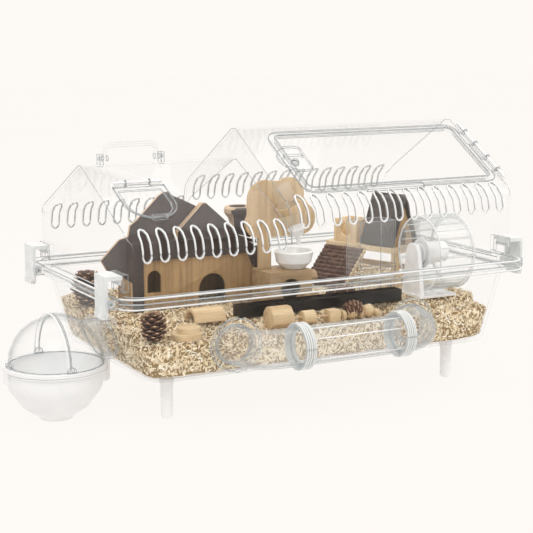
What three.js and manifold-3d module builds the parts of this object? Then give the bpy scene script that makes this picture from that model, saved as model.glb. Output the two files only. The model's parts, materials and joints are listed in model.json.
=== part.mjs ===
// Hamster cage: clear tapered tray on four feet, clear lift-off cover shaped like two joined gabled
// roofs, roof door, feeding flap, carrying handle, four end latches, front tunnel, side bath ball,
// bedding and the furniture that stands on it. Millimetres, +Z up, +X along the length, front is -Y.
import * as THREE from "three";
import { mergeVertices } from "three/addons/utils/BufferGeometryUtils.js";
import Module from "manifold-3d";

const wasm = await Module();
wasm.setup();

// ---------------------------------------------------------------- driving dimensions
const GAP = 0.3; // air between touching pieces
const CENTRE = [43.5, 27.75]; // middle of the tray, measured from the middle of the whole object
const RIM = { hx: 300, hy: 174, low: 157, ledge: 160, top: 170, r: 25, lip: 3 };
const TRAY = { hx: 283, hy: 157, baseHx: 255.5, baseHy: 147.5, bottom: 56, wall: 3, r: 25 };
const FOOT = { x: 215, y: 105, r: 7.5, collar: 9.5 };
const COVER = { hx: 285, hy: 159, base: RIM.ledge + GAP, wall: 2.5, split: -65, r: 14 };
const LOW_ROOF = { eave: 238, ridge: 314, flat: 4 };
const HIGH_ROOF = { eave: 262, ridge: 353, flat: 6 };
const EAVE_BEND = 20; // from the eave corner to where its rounding starts
const SLOT = { width: 10 };
const LOW_SLOTS = { count: 9, first: -262, pitch: 23.1, low: 211, high: 248 };
const HIGH_SLOTS = { count: 14, first: -45, pitch: 23.6, low: 238, high: 276 };
const DOOR = { x0: -30, x1: 278, s0: 29, s1: 163, plate: 2.5, border: 9, hingeX: 287, hingeN: 4.6 };
const DISC = { x: -13, s: 97, r: 27, flat: 15 };
const FLAP = { x: -228, width: 70, s0: 43, s1: 116, hingeS: 121, hingeN: 4.6 };
const HANDLE = { x0: -250, x1: -178, pivot: 321.5, top: 338.5, r: 3.5 };
const LATCH = { width: 36, low: 145, high: 197, pivotX: 306, pivotZ: 163.5 };
const LATCHES = [
  ["front_left", -1, -134],
  ["rear_left", -1, 123],
  ["front_right", 1, -127],
  ["rear_right", 1, 123],
];
const TUBE = { r: 25, bore: 22.5, z: 97 };
const TUNNEL = { y: -200, portL: -142, portR: 120, bend: 40, jointL: -75, jointR: 73, wallY: -152 };
const BALL = { x: -337, y: -35, axis: 72, r: 62, wall: 2, bowlR: 63.5, rim: 66 };
const BED = { front: 104, main: 114, edge: 122, step0: -104, step1: -96 };
const WHEEL = { x0: 188, x1: 246, y: -74, z: 174, r: 53 };
const DECK = { x: 192, y: 52, turn: -68.7, hx: 63.5, hy: 30, top: 172, thick: 8 };

// ---------------------------------------------------------------- looks
const look = (color, roughness, opacity = 1) =>
  new THREE.MeshStandardMaterial({ color, roughness, metalness: 0, opacity, transparent: opacity < 1 });
const clear = () => look(0xeef2f3, 0.06, 0.3);
const milky = () => look(0xe9ebea, 0.3);
const white = () => look(0xe4e6e6, 0.3);
const pale = () => look(0xd6ab76, 0.65);
const dark = () => look(0x4a3a33, 0.6);
const bark = () => look(0x6b4a35, 0.85);

// ---------------------------------------------------------------- solid helpers
function solid(geometry) {
  const bare = geometry.clone();
  bare.deleteAttribute("normal");
  bare.deleteAttribute("uv");
  const merged = mergeVertices(bare, 1e-3);
  const triangles = [];
  for (let i = 0; i < merged.index.count; i += 3) {
    const [a, b, c] = [0, 1, 2].map((k) => merged.index.getX(i + k));
    if (a !== b && b !== c && c !== a) triangles.push(a, b, c);
  }
  const make = () =>
    new wasm.Manifold(
      new wasm.Mesh({
        numProp: 3,
        vertProperties: merged.attributes.position.array,
        triVerts: new Uint32Array(triangles),
      }),
    );
  const made = make();
  if (made.volume() > 0) return made;
  for (let i = 0; i < triangles.length; i += 3) {
    [triangles[i + 1], triangles[i + 2]] = [triangles[i + 2], triangles[i + 1]];
  }
  return make();
}

const join = (bodies) => bodies.reduce((sum, body) => sum.add(body));
const cut = (body, tools) => tools.reduce((rest, tool) => rest.subtract(tool), body);

function box(x0, x1, y0, y1, z0, z1) {
  const geometry = new THREE.BoxGeometry(x1 - x0, y1 - y0, z1 - z0);
  geometry.translate((x0 + x1) / 2, (y0 + y1) / 2, (z0 + z1) / 2);
  return geometry;
}

const AXES = {
  x: new THREE.Matrix4().makeRotationZ(-Math.PI / 2),
  y: new THREE.Matrix4(),
  z: new THREE.Matrix4().makeRotationX(Math.PI / 2),
};

// a round bar of radius r along an axis, from a to b, through the point p on its centre line
function rod(axis, r, a, b, p, sides = 16) {
  const geometry = new THREE.CylinderGeometry(r, r, b - a, sides);
  geometry.applyMatrix4(AXES[axis]);
  const middle = (a + b) / 2;
  if (axis === "x") geometry.translate(middle, p[0], p[1]);
  if (axis === "y") geometry.translate(p[0], middle, p[1]);
  if (axis === "z") geometry.translate(p[0], p[1], middle);
  return geometry;
}

// a round bar between two points in space
function strut(from, to, r0, r1 = r0, sides = 12) {
  const a = new THREE.Vector3(...from);
  const b = new THREE.Vector3(...to);
  const run = b.clone().sub(a);
  const geometry = new THREE.CylinderGeometry(r1, r0, run.length(), sides);
  const up = new THREE.Vector3(0, 1, 0);
  geometry.applyQuaternion(new THREE.Quaternion().setFromUnitVectors(up, run.clone().normalize()));
  return geometry.translate(...a.add(b).multiplyScalar(0.5).toArray());
}

function outline(points) {
  return new THREE.Shape(points.map(([a, b]) => new THREE.Vector2(a, b)));
}

function roundedRect(hx, hy, r) {
  const s = new THREE.Shape();
  s.moveTo(-hx + r, -hy);
  s.lineTo(hx - r, -hy);
  s.absarc(hx - r, -hy + r, r, -Math.PI / 2, 0, false);
  s.lineTo(hx, hy - r);
  s.absarc(hx - r, hy - r, r, 0, Math.PI / 2, false);
  s.lineTo(-hx + r, hy);
  s.absarc(-hx + r, hy - r, r, Math.PI / 2, Math.PI, false);
  s.lineTo(-hx, -hy + r);
  s.absarc(-hx + r, -hy + r, r, Math.PI, 1.5 * Math.PI, false);
  return s;
}

// an outline pulled up along Z
function slab(shape, z0, z1, curveSegments = 3) {
  const g = new THREE.ExtrudeGeometry(shape, { depth: z1 - z0, bevelEnabled: false, curveSegments });
  return g.translate(0, 0, z0);
}

// an outline given as (y, z), pulled along X
function alongX(shape, x0, x1, curveSegments = 2) {
  const g = slab(shape, x0, x1, curveSegments);
  return g.applyMatrix4(new THREE.Matrix4().set(0, 0, 1, 0, 1, 0, 0, 0, 0, 1, 0, 0, 0, 0, 0, 1));
}

// an outline given as (x, z), pulled along Y
function alongY(shape, y0, y1, curveSegments = 4) {
  return slab(shape, -y1, -y0, curveSegments).rotateX(Math.PI / 2);
}

// an outline stacked through levels [z, scale of x, scale of y]
function stacked(shape, levels, curveSegments = 2) {
  const steps = levels.length - 1;
  const options = { depth: steps, steps, bevelEnabled: false, curveSegments };
  const g = new THREE.ExtrudeGeometry(shape, options);
  const p = g.attributes.position;
  for (let i = 0; i < p.count; i++) {
    const [z, sx, sy] = levels[Math.round(p.getZ(i))];
    p.setXYZ(i, p.getX(i) * sx, p.getY(i) * sy, z);
  }
  return g;
}

// a profile of [radius, z] turned about a vertical line through (x, y)
function turned(profile, sides, x = 0, y = 0) {
  const points = profile.map(([r, z]) => new THREE.Vector2(r, z));
  return new THREE.LatheGeometry(points, sides).rotateX(Math.PI / 2).translate(x, y, 0);
}

// a round pipe (or, with no bore, a rod) along a path
function pipe(path, r, bore, steps, sides = 20) {
  const shape = new THREE.Shape();
  shape.absarc(0, 0, r, 0, 2 * Math.PI, false);
  if (bore) shape.holes.push(new THREE.Path().absarc(0, 0, bore, 0, 2 * Math.PI, true));
  const options = { extrudePath: path, steps, curveSegments: sides / 2, bevelEnabled: false };
  return new THREE.ExtrudeGeometry(shape, options);
}

function ring(axis, r, bore, a, b, p, sides = 20) {
  return solid(rod(axis, r, a, b, p, sides)).subtract(
    solid(rod(axis, bore, a - 1, b + 1, p, sides)),
  );
}

// ---------------------------------------------------------------- assembly
const cage = new THREE.Group();
cage.position.set(CENTRE[0], CENTRE[1], 0);

function node(name, body, material) {
  const { vertProperties, triVerts } = body.getMesh();
  const geometry = new THREE.BufferGeometry();
  geometry.setAttribute("position", new THREE.BufferAttribute(new Float32Array(vertProperties), 3));
  geometry.setIndex(new THREE.BufferAttribute(new Uint32Array(triVerts), 1));
  geometry.computeVertexNormals();
  const mesh = new THREE.Mesh(geometry, material);
  mesh.name = name;
  cage.add(mesh);
}

// ---------------------------------------------------------------- tray
const trayLevel = (z, inset) => {
  const t = (z - TRAY.bottom) / (RIM.ledge - TRAY.bottom);
  const hx = TRAY.baseHx + (TRAY.hx - TRAY.baseHx) * t - inset;
  const hy = TRAY.baseHy + (TRAY.hy - TRAY.baseHy) * t - inset;
  return [z, hx / TRAY.hx, hy / TRAY.hy];
};

// the tray's tapered inside or outside, moved in by an inset; its foot is rounded
function trayForm(inset, floor, top) {
  const foot = [
    [0, 7],
    [2, 3],
    [7, 0],
  ].map(([rise, pull]) => trayLevel(floor + rise, inset + pull));
  const shape = roundedRect(TRAY.hx, TRAY.hy, TRAY.r);
  return solid(stacked(shape, [...foot, trayLevel(top, inset)]));
}

const frontPort = (x, r) => solid(rod("y", r, -175, -135, [x, TUBE.z], 24));
const sidePort = (r) => solid(rod("x", r, -320, -250, [BALL.y, TUBE.z], 24));

// two ears and a pin on the end of the rim that carry one latch
function latchSeat(side, y) {
  const half = LATCH.width / 2;
  const ear = (y0) => {
    const x = [side * 298, side * 311].sort((a, b) => a - b);
    return solid(box(x[0], x[1], y0, y0 + 3, 158, 169));
  };
  const pin = solid(rod("y", 2, y - half - 2, y + half + 2, [side * LATCH.pivotX, LATCH.pivotZ], 12));
  return join([ear(y - half - 4), ear(y + half + 1), pin]);
}

function baseTray() {
  const outside = trayForm(0, TRAY.bottom, RIM.ledge);
  const rim = solid(slab(roundedRect(RIM.hx, RIM.hy, RIM.r), RIM.low, RIM.top));
  const pocket = solid(
    slab(roundedRect(RIM.hx - RIM.lip, RIM.hy - RIM.lip, RIM.r - RIM.lip), RIM.ledge, RIM.top + 1),
  );
  const inside = trayForm(TRAY.wall, TRAY.bottom + TRAY.wall, RIM.ledge + 1);
  const shell = cut(outside.add(rim), [pocket, inside]);
  const ports = [
    frontPort(TUNNEL.portL, TUBE.r + 0.4),
    frontPort(TUNNEL.portR, TUBE.r + 0.4),
    sidePort(TUBE.r + 0.4),
  ];
  const seats = LATCHES.map(([, side, y]) => latchSeat(side, y));
  return join([cut(shell, ports), ...seats]);
}

node("base_tray", baseTray(), clear());

const footProfile = [
  [0, 0],
  [4.5, 0],
  [6.6, 1.6],
  [FOOT.r, 5],
  [FOOT.r + 0.6, 44],
  [FOOT.collar, 48],
  [FOOT.collar, TRAY.bottom - GAP],
  [0, TRAY.bottom - GAP],
];
for (const [name, x, y] of [
  ["foot_front_left", -FOOT.x, -FOOT.y],
  ["foot_front_right", FOOT.x, -FOOT.y],
  ["foot_rear_left", -FOOT.x, FOOT.y],
  ["foot_rear_right", FOOT.x, FOOT.y],
]) {
  node(name, solid(turned(footProfile, 12, x, y)), white());
}

// ---------------------------------------------------------------- bedding
// height of the shavings: low along the front, level where the furniture stands, heaped at the walls
function beddingHeight(x, y) {
  const t = THREE.MathUtils.smoothstep(y, BED.step0, BED.step1);
  const level = BED.front + (BED.main - BED.front) * t;
  const rear = THREE.MathUtils.smoothstep(y, 126, 140);
  const left = THREE.MathUtils.smoothstep(-x, 256, 268) * THREE.MathUtils.smoothstep(y, 80, 100);
  const right = THREE.MathUtils.smoothstep(x, 262, 272) * THREE.MathUtils.smoothstep(y, -60, 0);
  const heap = Math.max(rear, left, right) * (BED.edge - BED.main);
  return level + heap * (0.8 + 0.2 * Math.sin(x / 17));
}

// grid lines of the bedding's surface, closer together where it slopes
const BED_X = [-310, -268, -256, -215, -170, -120, -70, -20, 30, 80, 130, 180, 225, 262, 272, 310];
const BED_Y = [-180, -140, BED.step0, BED.step1, -60, 0, 40, 80, 100, 126, 140, 180];

function bedding() {
  const form = trayForm(TRAY.wall + GAP, TRAY.bottom + TRAY.wall + GAP, 150);
  const [nx, ny] = [BED_X.length - 1, BED_Y.length - 1];
  const top = new THREE.BoxGeometry(nx, ny, 2, nx, ny, 1);
  const p = top.attributes.position;
  for (let i = 0; i < p.count; i++) {
    const x = BED_X[Math.round(p.getX(i) + nx / 2)];
    const y = BED_Y[Math.round(p.getY(i) + ny / 2)];
    p.setXYZ(i, x, y, p.getZ(i) < 0 ? beddingHeight(x, y) : 300);
  }
  // burrows that lead from each port up to the surface
  const burrow = (points) => {
    const path = new THREE.CatmullRomCurve3(points.map((q) => new THREE.Vector3(...q)));
    return solid(pipe(path, TUBE.r + 1.2, 0, 6, 12));
  };
  const burrows = [TUNNEL.portL, TUNNEL.portR].map((x) =>
    burrow([
      [x, -175, TUBE.z],
      [x, -155, TUBE.z],
      [x, -138, TUBE.z + 0.5],
      [x, -118, 110],
      [x, -96, 134],
    ]),
  );
  burrows.push(
    burrow([
      [-290, BALL.y, TUBE.z],
      [-270, BALL.y, TUBE.z],
      [-250, BALL.y, TUBE.z + 0.5],
      [-228, BALL.y, 110],
      [-206, BALL.y, 134],
    ]),
  );
  return cut(form, [solid(top), ...burrows]);
}

node("bedding", bedding(), look(0xd9c39b, 0.9));

// ---------------------------------------------------------------- cover
// gable outline in (y, z); inset moves it inwards by the wall
function roofShape(roof, base, inset) {
  const slope = Math.atan2(roof.ridge - roof.eave, COVER.hy - roof.flat);
  const hy = COVER.hy - inset;
  const eave = roof.eave + inset * (Math.tan(slope) - 1 / Math.cos(slope));
  const ridge = roof.ridge - inset / Math.cos(slope);
  const bend = EAVE_BEND - inset;
  const s = new THREE.Shape();
  s.moveTo(-hy, base);
  s.lineTo(-hy, eave - bend);
  s.quadraticCurveTo(-hy, eave, -hy + bend * Math.cos(slope), eave + bend * Math.sin(slope));
  s.lineTo(-roof.flat, ridge);
  s.lineTo(roof.flat, ridge);
  s.lineTo(hy - bend * Math.cos(slope), eave + bend * Math.sin(slope));
  s.quadraticCurveTo(hy, eave, hy, eave - bend);
  s.lineTo(hy, base);
  return s;
}

// places things drawn flat on a front roof slope: X along the cage, Y up the slope, Z off its face
function slopeFrame(roof) {
  const slope = Math.atan2(roof.ridge - roof.eave, COVER.hy - roof.flat);
  return new THREE.Matrix4()
    .makeTranslation(0, -COVER.hy, roof.eave)
    .multiply(new THREE.Matrix4().makeRotationX(slope));
}
const LOW = slopeFrame(LOW_ROOF);
const HIGH = slopeFrame(HIGH_ROOF);
const onSlope = (frame, geometry) => solid(geometry.applyMatrix4(frame));

// one vent slot: a long pointed slot that runs down the wall and over the eave bend
function slot(x, row, side) {
  const h = SLOT.width / 2;
  const shape = outline([
    [x, row.low],
    [x + h, row.low + h],
    [x + h, row.high - h],
    [x, row.high],
    [x - h, row.high - h],
    [x - h, row.low + h],
  ]);
  const inner = side * (COVER.hy - 27);
  const outer = side * (COVER.hy + 5);
  return solid(alongY(shape, Math.min(inner, outer), Math.max(inner, outer)));
}

function flapShape(inset) {
  const r = FLAP.width / 2 - inset;
  const s = new THREE.Shape();
  s.moveTo(FLAP.x + r, FLAP.s1 - inset);
  s.lineTo(FLAP.x - r, FLAP.s1 - inset);
  s.lineTo(FLAP.x - r, FLAP.s0 + FLAP.width / 2);
  s.absarc(FLAP.x, FLAP.s0 + FLAP.width / 2, r, Math.PI, 2 * Math.PI, false);
  return s;
}

function doorShape(inset) {
  const hx = (DOOR.x1 - DOOR.x0) / 2 - inset;
  const hs = (DOOR.s1 - DOOR.s0) / 2 - inset;
  return roundedRect(hx, hs, Math.max(18 - inset, 6));
}
const DOOR_MIDDLE = [(DOOR.x0 + DOOR.x1) / 2, (DOOR.s0 + DOOR.s1) / 2];
const doorSlab = (inset, n0, n1) =>
  slab(doorShape(inset), n0, n1, 2).translate(DOOR_MIDDLE[0], DOOR_MIDDLE[1], 0);

const COVER_KNUCKLES = [
  [33, 50],
  [80, 112],
  [142, 159],
];
const DOOR_KNUCKLES = [
  [50.4, 79.6],
  [112.4, 141.6],
];
const FLAP_KNUCKLE = [-244.6, -211.4];
const FLAP_EARS = [
  [-260, -245],
  [-211, -196],
];

function handleBracket(x0, x1) {
  return cut(solid(box(x0, x1, -5.5, 5.5, 311, 327)), [
    solid(rod("x", 2.8, x0 - 1, x1 + 1, [0, HANDLE.pivot], 12)),
  ]);
}

// arched lug on an end wall of the cover, under the nib of a latch
function coverLug(side, y) {
  const x = [side * (COVER.hx - 1), side * (COVER.hx + 6)].sort((a, b) => a - b);
  const arch = solid(box(x[0], x[1], y - 18, y + 18, 176, 198));
  return cut(arch, [solid(box(x[0] - 2, x[1] + 2, y - 12, y + 12, 174, 188))]).add(
    solid(box(...(side < 0 ? [-286, -284] : [284, 286]), y - 12.5, y + 12.5, 176, 189)),
  );
}

function topCover() {
  const lowOut = solid(alongX(roofShape(LOW_ROOF, COVER.base, 0), -COVER.hx, COVER.split + 2));
  const highOut = solid(alongX(roofShape(HIGH_ROOF, COVER.base, 0), COVER.split, COVER.hx));
  const w = COVER.wall;
  const lowIn = solid(alongX(roofShape(LOW_ROOF, 150, w), -COVER.hx + w, COVER.split + 5));
  const highIn = solid(alongX(roofShape(HIGH_ROOF, 150, w), COVER.split + w, COVER.hx - w));
  const plan = solid(slab(roundedRect(COVER.hx, COVER.hy, COVER.r), 150, 380, 2));
  const planIn = solid(slab(roundedRect(COVER.hx - w, COVER.hy - w, COVER.r - w), 140, 390, 2));
  const shell = lowOut.add(highOut).intersect(plan).subtract(lowIn.add(highIn).intersect(planIn));
  const openings = [
    onSlope(HIGH, doorSlab(DOOR.border, -12, 12)),
    onSlope(LOW, slab(flapShape(6), -12, 12, 4)),
  ];
  for (const row of [LOW_SLOTS, HIGH_SLOTS]) {
    for (let i = 0; i < row.count; i++) {
      const x = row.first + i * row.pitch;
      openings.push(slot(x, row, -1), slot(x, row, 1));
    }
  }
  const body = cut(shell, openings);
  const hardware = [];
  for (const [s0, s1] of COVER_KNUCKLES) {
    hardware.push(
      onSlope(HIGH, rod("y", 4, s0, s1, [DOOR.hingeX, DOOR.hingeN], 10)),
      onSlope(HIGH, box(282.8, 288.5, s0, s1, -3, DOOR.hingeN)),
    );
  }
  for (const [x0, x1] of FLAP_EARS) {
    hardware.push(
      onSlope(LOW, rod("x", 3.6, x0, x1, [FLAP.hingeS, FLAP.hingeN], 12)),
      onSlope(LOW, box(x0, x1, FLAP.hingeS - 2, FLAP.hingeS + 2, -1.5, FLAP.hingeN)),
    );
  }
  hardware.push(handleBracket(HANDLE.x0 - 9, HANDLE.x0 - 4.2));
  hardware.push(handleBracket(HANDLE.x1 + 4.2, HANDLE.x1 + 9));
  for (const [, side, y] of LATCHES) hardware.push(coverLug(side, y));
  const bores = [
    onSlope(HIGH, rod("y", 1.8, 20, 170, [DOOR.hingeX, DOOR.hingeN], 10)),
    onSlope(LOW, rod("x", 1.8, -270, -186, [FLAP.hingeS, FLAP.hingeN], 10)),
  ];
  return cut(join([body, ...hardware]), bores);
}

node("top_cover", topCover(), clear());

// ---------------------------------------------------------------- roof door
function roofDoor() {
  const n0 = GAP;
  const n1 = GAP + DOOR.plate;
  const plate = solid(doorSlab(0, n0, n1));
  const bead = solid(doorSlab(8, n1 - 0.5, n1 + 1)).subtract(solid(doorSlab(10.5, n1 - 1, n1 + 2)));
  const knuckles = DOOR_KNUCKLES.map(([s0, s1]) =>
    solid(rod("y", 4, s0, s1, [DOOR.hingeX, DOOR.hingeN], 10)).add(
      solid(box(DOOR.x1 - 4, DOOR.hingeX, s0, s1, n0, n1 + 0.4)),
    ),
  );
  const pull = solid(box(60, 150, DOOR.s0 - 4, DOOR.s0 + 5, n0, n1 + 1.5));
  const body = cut(join([plate, bead, pull, ...knuckles]), [
    solid(rod("y", 1.8, 20, 170, [DOOR.hingeX, DOOR.hingeN], 10)),
    solid(rod("z", 4.4, -2, 8, [DISC.x, DISC.s], 14)),
  ]);
  return body.transform(HIGH.elements);
}
node("roof_door", roofDoor(), clear());
node(
  "door_hinge_pin",
  onSlope(HIGH, rod("y", 1.5, 31, 161, [DOOR.hingeX, DOOR.hingeN], 10)),
  white(),
);

function latchDisc() {
  const at = [DISC.x, DISC.s];
  const plate = solid(rod("z", DISC.r, 4.2, 7.6, at, 20)).subtract(
    solid(box(DISC.x + DISC.flat, 40, 60, 140, 0, 10)),
  );
  const stem = solid(rod("z", 4, -1.7, 5, at, 12));
  const foot = solid(rod("z", 6, -1.8, 0, at, 12));
  const rib = solid(box(DISC.x - 20, DISC.x + 8, DISC.s - 2.2, DISC.s + 2.2, 7, 12));
  return join([plate, stem, foot, rib]).transform(HIGH.elements);
}
node("door_latch_disc", latchDisc(), clear());

// ---------------------------------------------------------------- feeding flap
function feedingFlap() {
  const plate = solid(slab(flapShape(0), GAP, GAP + 2.2, 5));
  const [x0, x1] = FLAP_KNUCKLE;
  const knuckle = solid(rod("x", 3.6, x0, x1, [FLAP.hingeS, FLAP.hingeN], 12));
  const web = solid(box(x0, x1, FLAP.s1 - 4, FLAP.hingeS, GAP, GAP + 2.6));
  const tab = solid(box(FLAP.x - 10, FLAP.x + 10, FLAP.s0 - 3, FLAP.s0 + 4, GAP, GAP + 5));
  const bore = solid(rod("x", 1.8, -270, -186, [FLAP.hingeS, FLAP.hingeN], 10));
  return cut(join([plate, knuckle, web, tab]), [bore]).transform(LOW.elements);
}
node("feeding_flap", feedingFlap(), clear());
node(
  "flap_hinge_pin",
  onSlope(LOW, rod("x", 1.5, -261, -195, [FLAP.hingeS, FLAP.hingeN], 10)),
  white(),
);

// ---------------------------------------------------------------- carrying handle
function carryHandle() {
  const { x0, x1, pivot, top, r } = HANDLE;
  const path = new THREE.CurvePath();
  const v = (x, z) => new THREE.Vector3(x, 0, z);
  path.add(new THREE.LineCurve3(v(x0, pivot), v(x0, top - 9)));
  path.add(new THREE.QuadraticBezierCurve3(v(x0, top - 9), v(x0, top), v(x0 + 9, top)));
  path.add(new THREE.LineCurve3(v(x0 + 9, top), v(x1 - 9, top)));
  path.add(new THREE.QuadraticBezierCurve3(v(x1 - 9, top), v(x1, top), v(x1, top - 9)));
  path.add(new THREE.LineCurve3(v(x1, top - 9), v(x1, pivot)));
  const parts = [solid(pipe(path, r, 0, 14, 8))];
  for (const [x, end] of [
    [x0, x0 - 8.5],
    [x1, x1 + 8.5],
  ]) {
    parts.push(solid(rod("x", 3.9, x - 3.5, x + 3.5, [0, pivot], 10)));
    parts.push(solid(rod("x", 2.4, Math.min(x, end), Math.max(x, end), [0, pivot], 10)));
  }
  return join(parts);
}
node("carry_handle", carryHandle(), clear());

// ---------------------------------------------------------------- end latches
function endLatch(side, y) {
  const half = LATCH.width / 2 - 0.5;
  const span = (a, b) => [side * a, side * b].sort((p, q) => p - q);
  const piece = (a, b, z0, z1, h = half) => solid(box(...span(a, b), y - h, y + h, z0, z1));
  const lever = piece(310, 313.5, LATCH.low + 4, LATCH.high);
  const grip = piece(310, 316, LATCH.low, LATCH.low + 6, half - 4);
  const arm = piece(291.4, 313.5, LATCH.high - 5, LATCH.high);
  const nib = piece(291.4, 294.4, LATCH.high - 12, LATCH.high, half - 4);
  const web = piece(306, 311, LATCH.pivotZ - 4, LATCH.pivotZ + 4);
  const barrel = solid(
    rod("y", 4.5, y - half, y + half, [side * LATCH.pivotX, LATCH.pivotZ], 14),
  );
  const bore = solid(rod("y", 2.35, y - 30, y + 30, [side * LATCH.pivotX, LATCH.pivotZ], 14));
  return cut(join([lever, grip, arm, nib, web, barrel]), [bore]);
}
for (const [name, side, y] of LATCHES) node(`latch_${name}`, endLatch(side, y), milky());

// ---------------------------------------------------------------- front tunnel
// the tray's outside with a hair of air round it, to fit the collars to the sloping walls
const trayClear = trayForm(-GAP, TRAY.bottom - 20, RIM.ledge);

function knurledCollar(axis, r, bore, a, b, p, teeth) {
  const points = [];
  for (let i = 0; i < teeth * 2; i++) {
    const angle = (Math.PI * i) / teeth;
    const rr = i % 2 ? r : r - 1.4;
    points.push([rr * Math.cos(angle), rr * Math.sin(angle)]);
  }
  const g = slab(outline(points), a, b);
  if (axis === "y") g.rotateX(-Math.PI / 2).translate(p[0], 0, p[1]);
  if (axis === "x") g.rotateY(Math.PI / 2).translate(0, p[0], p[1]);
  return solid(g).subtract(solid(rod(axis, bore, a - 1, b + 1, p, 24)));
}

for (const [name, x] of [
  ["wall_collar_left", TUNNEL.portL],
  ["wall_collar_right", TUNNEL.portR],
]) {
  const collar = knurledCollar("y", 35, TUBE.r + GAP, -159.5, -145, [x, TUBE.z], 18);
  node(name, collar.subtract(trayClear), clear());
}

// bend from a port in the front wall to the line of the tunnel; dir is the way the tunnel runs
function elbow(portX, endX, dir) {
  const path = new THREE.CurvePath();
  const v = (x, y) => new THREE.Vector3(x, y, TUBE.z);
  const bendY = TUNNEL.y + TUNNEL.bend;
  const bend = new THREE.CubicBezierCurve3(
    v(portX, bendY),
    v(portX, bendY - TUNNEL.bend * 0.552),
    v(portX + dir * TUNNEL.bend * 0.448, TUNNEL.y),
    v(portX + dir * TUNNEL.bend, TUNNEL.y),
  );
  path.add(new THREE.LineCurve3(v(portX, -147), v(portX, bendY)));
  path.add(bend);
  path.add(new THREE.LineCurve3(v(portX + dir * TUNNEL.bend, TUNNEL.y), v(endX, TUNNEL.y)));
  return solid(pipe(path, TUBE.r, TUBE.bore, 9, 16));
}
node("tunnel_elbow_left", elbow(TUNNEL.portL, TUNNEL.jointL - GAP, 1), clear());
node("tunnel_elbow_right", elbow(TUNNEL.portR, TUNNEL.jointR + GAP, -1), clear());
node(
  "tunnel_tube",
  ring("x", TUBE.r, TUBE.bore, TUNNEL.jointL, TUNNEL.jointR, [TUNNEL.y, TUBE.z]),
  clear(),
);
for (const [name, x] of [
  ["coupling_ring_left", TUNNEL.jointL],
  ["coupling_ring_right", TUNNEL.jointR],
]) {
  const at = [TUNNEL.y, TUBE.z];
  const sleeve = ring("x", 27.5, TUBE.r + GAP + 0.3, x - 7, x + 7, at, 16);
  const ribs = [-5, 5].map((dx) => ring("x", 29.5, 26.5, x + dx - 2, x + dx + 2, at, 16));
  node(name, join([sleeve, ...ribs]), milky());
}

// ---------------------------------------------------------------- bath ball
const ballSphere = (r) =>
  solid(new THREE.SphereGeometry(r, 24, 12).rotateX(Math.PI / 2).translate(BALL.x, BALL.y, BALL.axis));
const portAt = [BALL.y, TUBE.z];
const ballClear = ballSphere(BALL.r + 0.4).add(
  solid(rod("z", BALL.rim + 0.5, 60, 70.5, [BALL.x, BALL.y], 24)),
);

node(
  "bath_port_tube",
  ring("x", TUBE.r, TUBE.bore, -310, -259, portAt).subtract(ballClear),
  clear(),
);
node(
  "bath_port_collar",
  knurledCollar("x", 30, TUBE.r + GAP, -290, -262, portAt, 20).subtract(ballClear).subtract(trayClear),
  clear(),
);

const bowlProfile = [
  [0, 0],
  [21, 0],
  [22, 2.5],
  [42, 16.5],
  [58, 38],
  [62, 51],
  [BALL.bowlR, 66],
  [BALL.rim, 66],
  [BALL.rim, 70],
  [60.8, 70],
  [60.5, 62],
  [55, 39.5],
  [40, 19],
  [20, 5.5],
  [0, 3],
];
function bathBowl() {
  const shell = solid(turned(bowlProfile, 24, BALL.x, BALL.y));
  const lug = (x0, x1) => {
    const block = solid(box(x0, x1, BALL.y - 8, BALL.y + 8, 50, 66.5));
    return block.subtract(solid(rod("z", 61.5, 40, 80, [BALL.x, BALL.y], 24)));
  };
  return join([shell, lug(BALL.x + 50, BALL.x + 67), lug(BALL.x - 66, BALL.x - 50)]);
}
node("bath_bowl", bathBowl(), white());

// half of the dome; side is +1 for the half towards the tray, -1 for the half that opens
function domeHalf(side, r) {
  const hollow = ballSphere(r).subtract(ballSphere(r - BALL.wall));
  const x = side > 0 ? [BALL.x, BALL.x + 80] : [BALL.x - 80, BALL.x];
  const keep = solid(box(x[0], x[1], BALL.y - 80, BALL.y + 80, 70.4, 140));
  return hollow.intersect(keep);
}
const pivotRod = (r, y0, y1) => solid(rod("y", r, y0, y1, [BALL.x, BALL.axis], 14));

function domeFixed() {
  const shell = domeHalf(1, BALL.r).subtract(
    solid(rod("x", TUBE.bore, -330, -260, portAt, 24)),
  );
  const above = solid(box(-360, -300, -110, 40, 70.4, 90));
  const ends = [-1, 1].map((dir) => {
    const face = [BALL.y + dir * 60, BALL.y + dir * 62.4].sort((a, b) => a - b);
    const pin = [BALL.y + dir * 56.4, BALL.y + dir * 61].sort((a, b) => a - b);
    return pivotRod(6, ...face).intersect(above).add(pivotRod(1.5, ...pin));
  });
  return join([shell, ...ends]);
}
node("bath_dome_fixed", domeFixed(), clear());

function domeVisor() {
  const r = BALL.r - BALL.wall - 1;
  const ears = [-1, 1].map((dir) => {
    const face = [BALL.y + dir * 57, BALL.y + dir * 59].sort((a, b) => a - b);
    return pivotRod(5, ...face);
  });
  const above = solid(box(-420, -300, -110, 40, 70.4, 140));
  const body = join([domeHalf(-1, r), ...ears]).intersect(above);
  const grip = solid(box(BALL.x - 61.5, BALL.x - 56, BALL.y - 10, BALL.y + 10, 71, 75));
  return cut(body.add(grip), [pivotRod(1.9, BALL.y - 70, BALL.y + 70)]);
}
node("bath_dome_visor", domeVisor(), clear());

// ---------------------------------------------------------------- hideout house
const FLOOR = BED.main + GAP; // furniture stands on the level part of the bedding

function archHole(x, z0, width, height, y0, y1) {
  const r = width / 2;
  const s = new THREE.Shape();
  s.moveTo(x - r, z0);
  s.lineTo(x + r, z0);
  s.lineTo(x + r, z0 + height - r);
  s.absarc(x, z0 + height - r, r, 0, Math.PI, false);
  return solid(alongY(s, y0, y1, 6));
}

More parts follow.
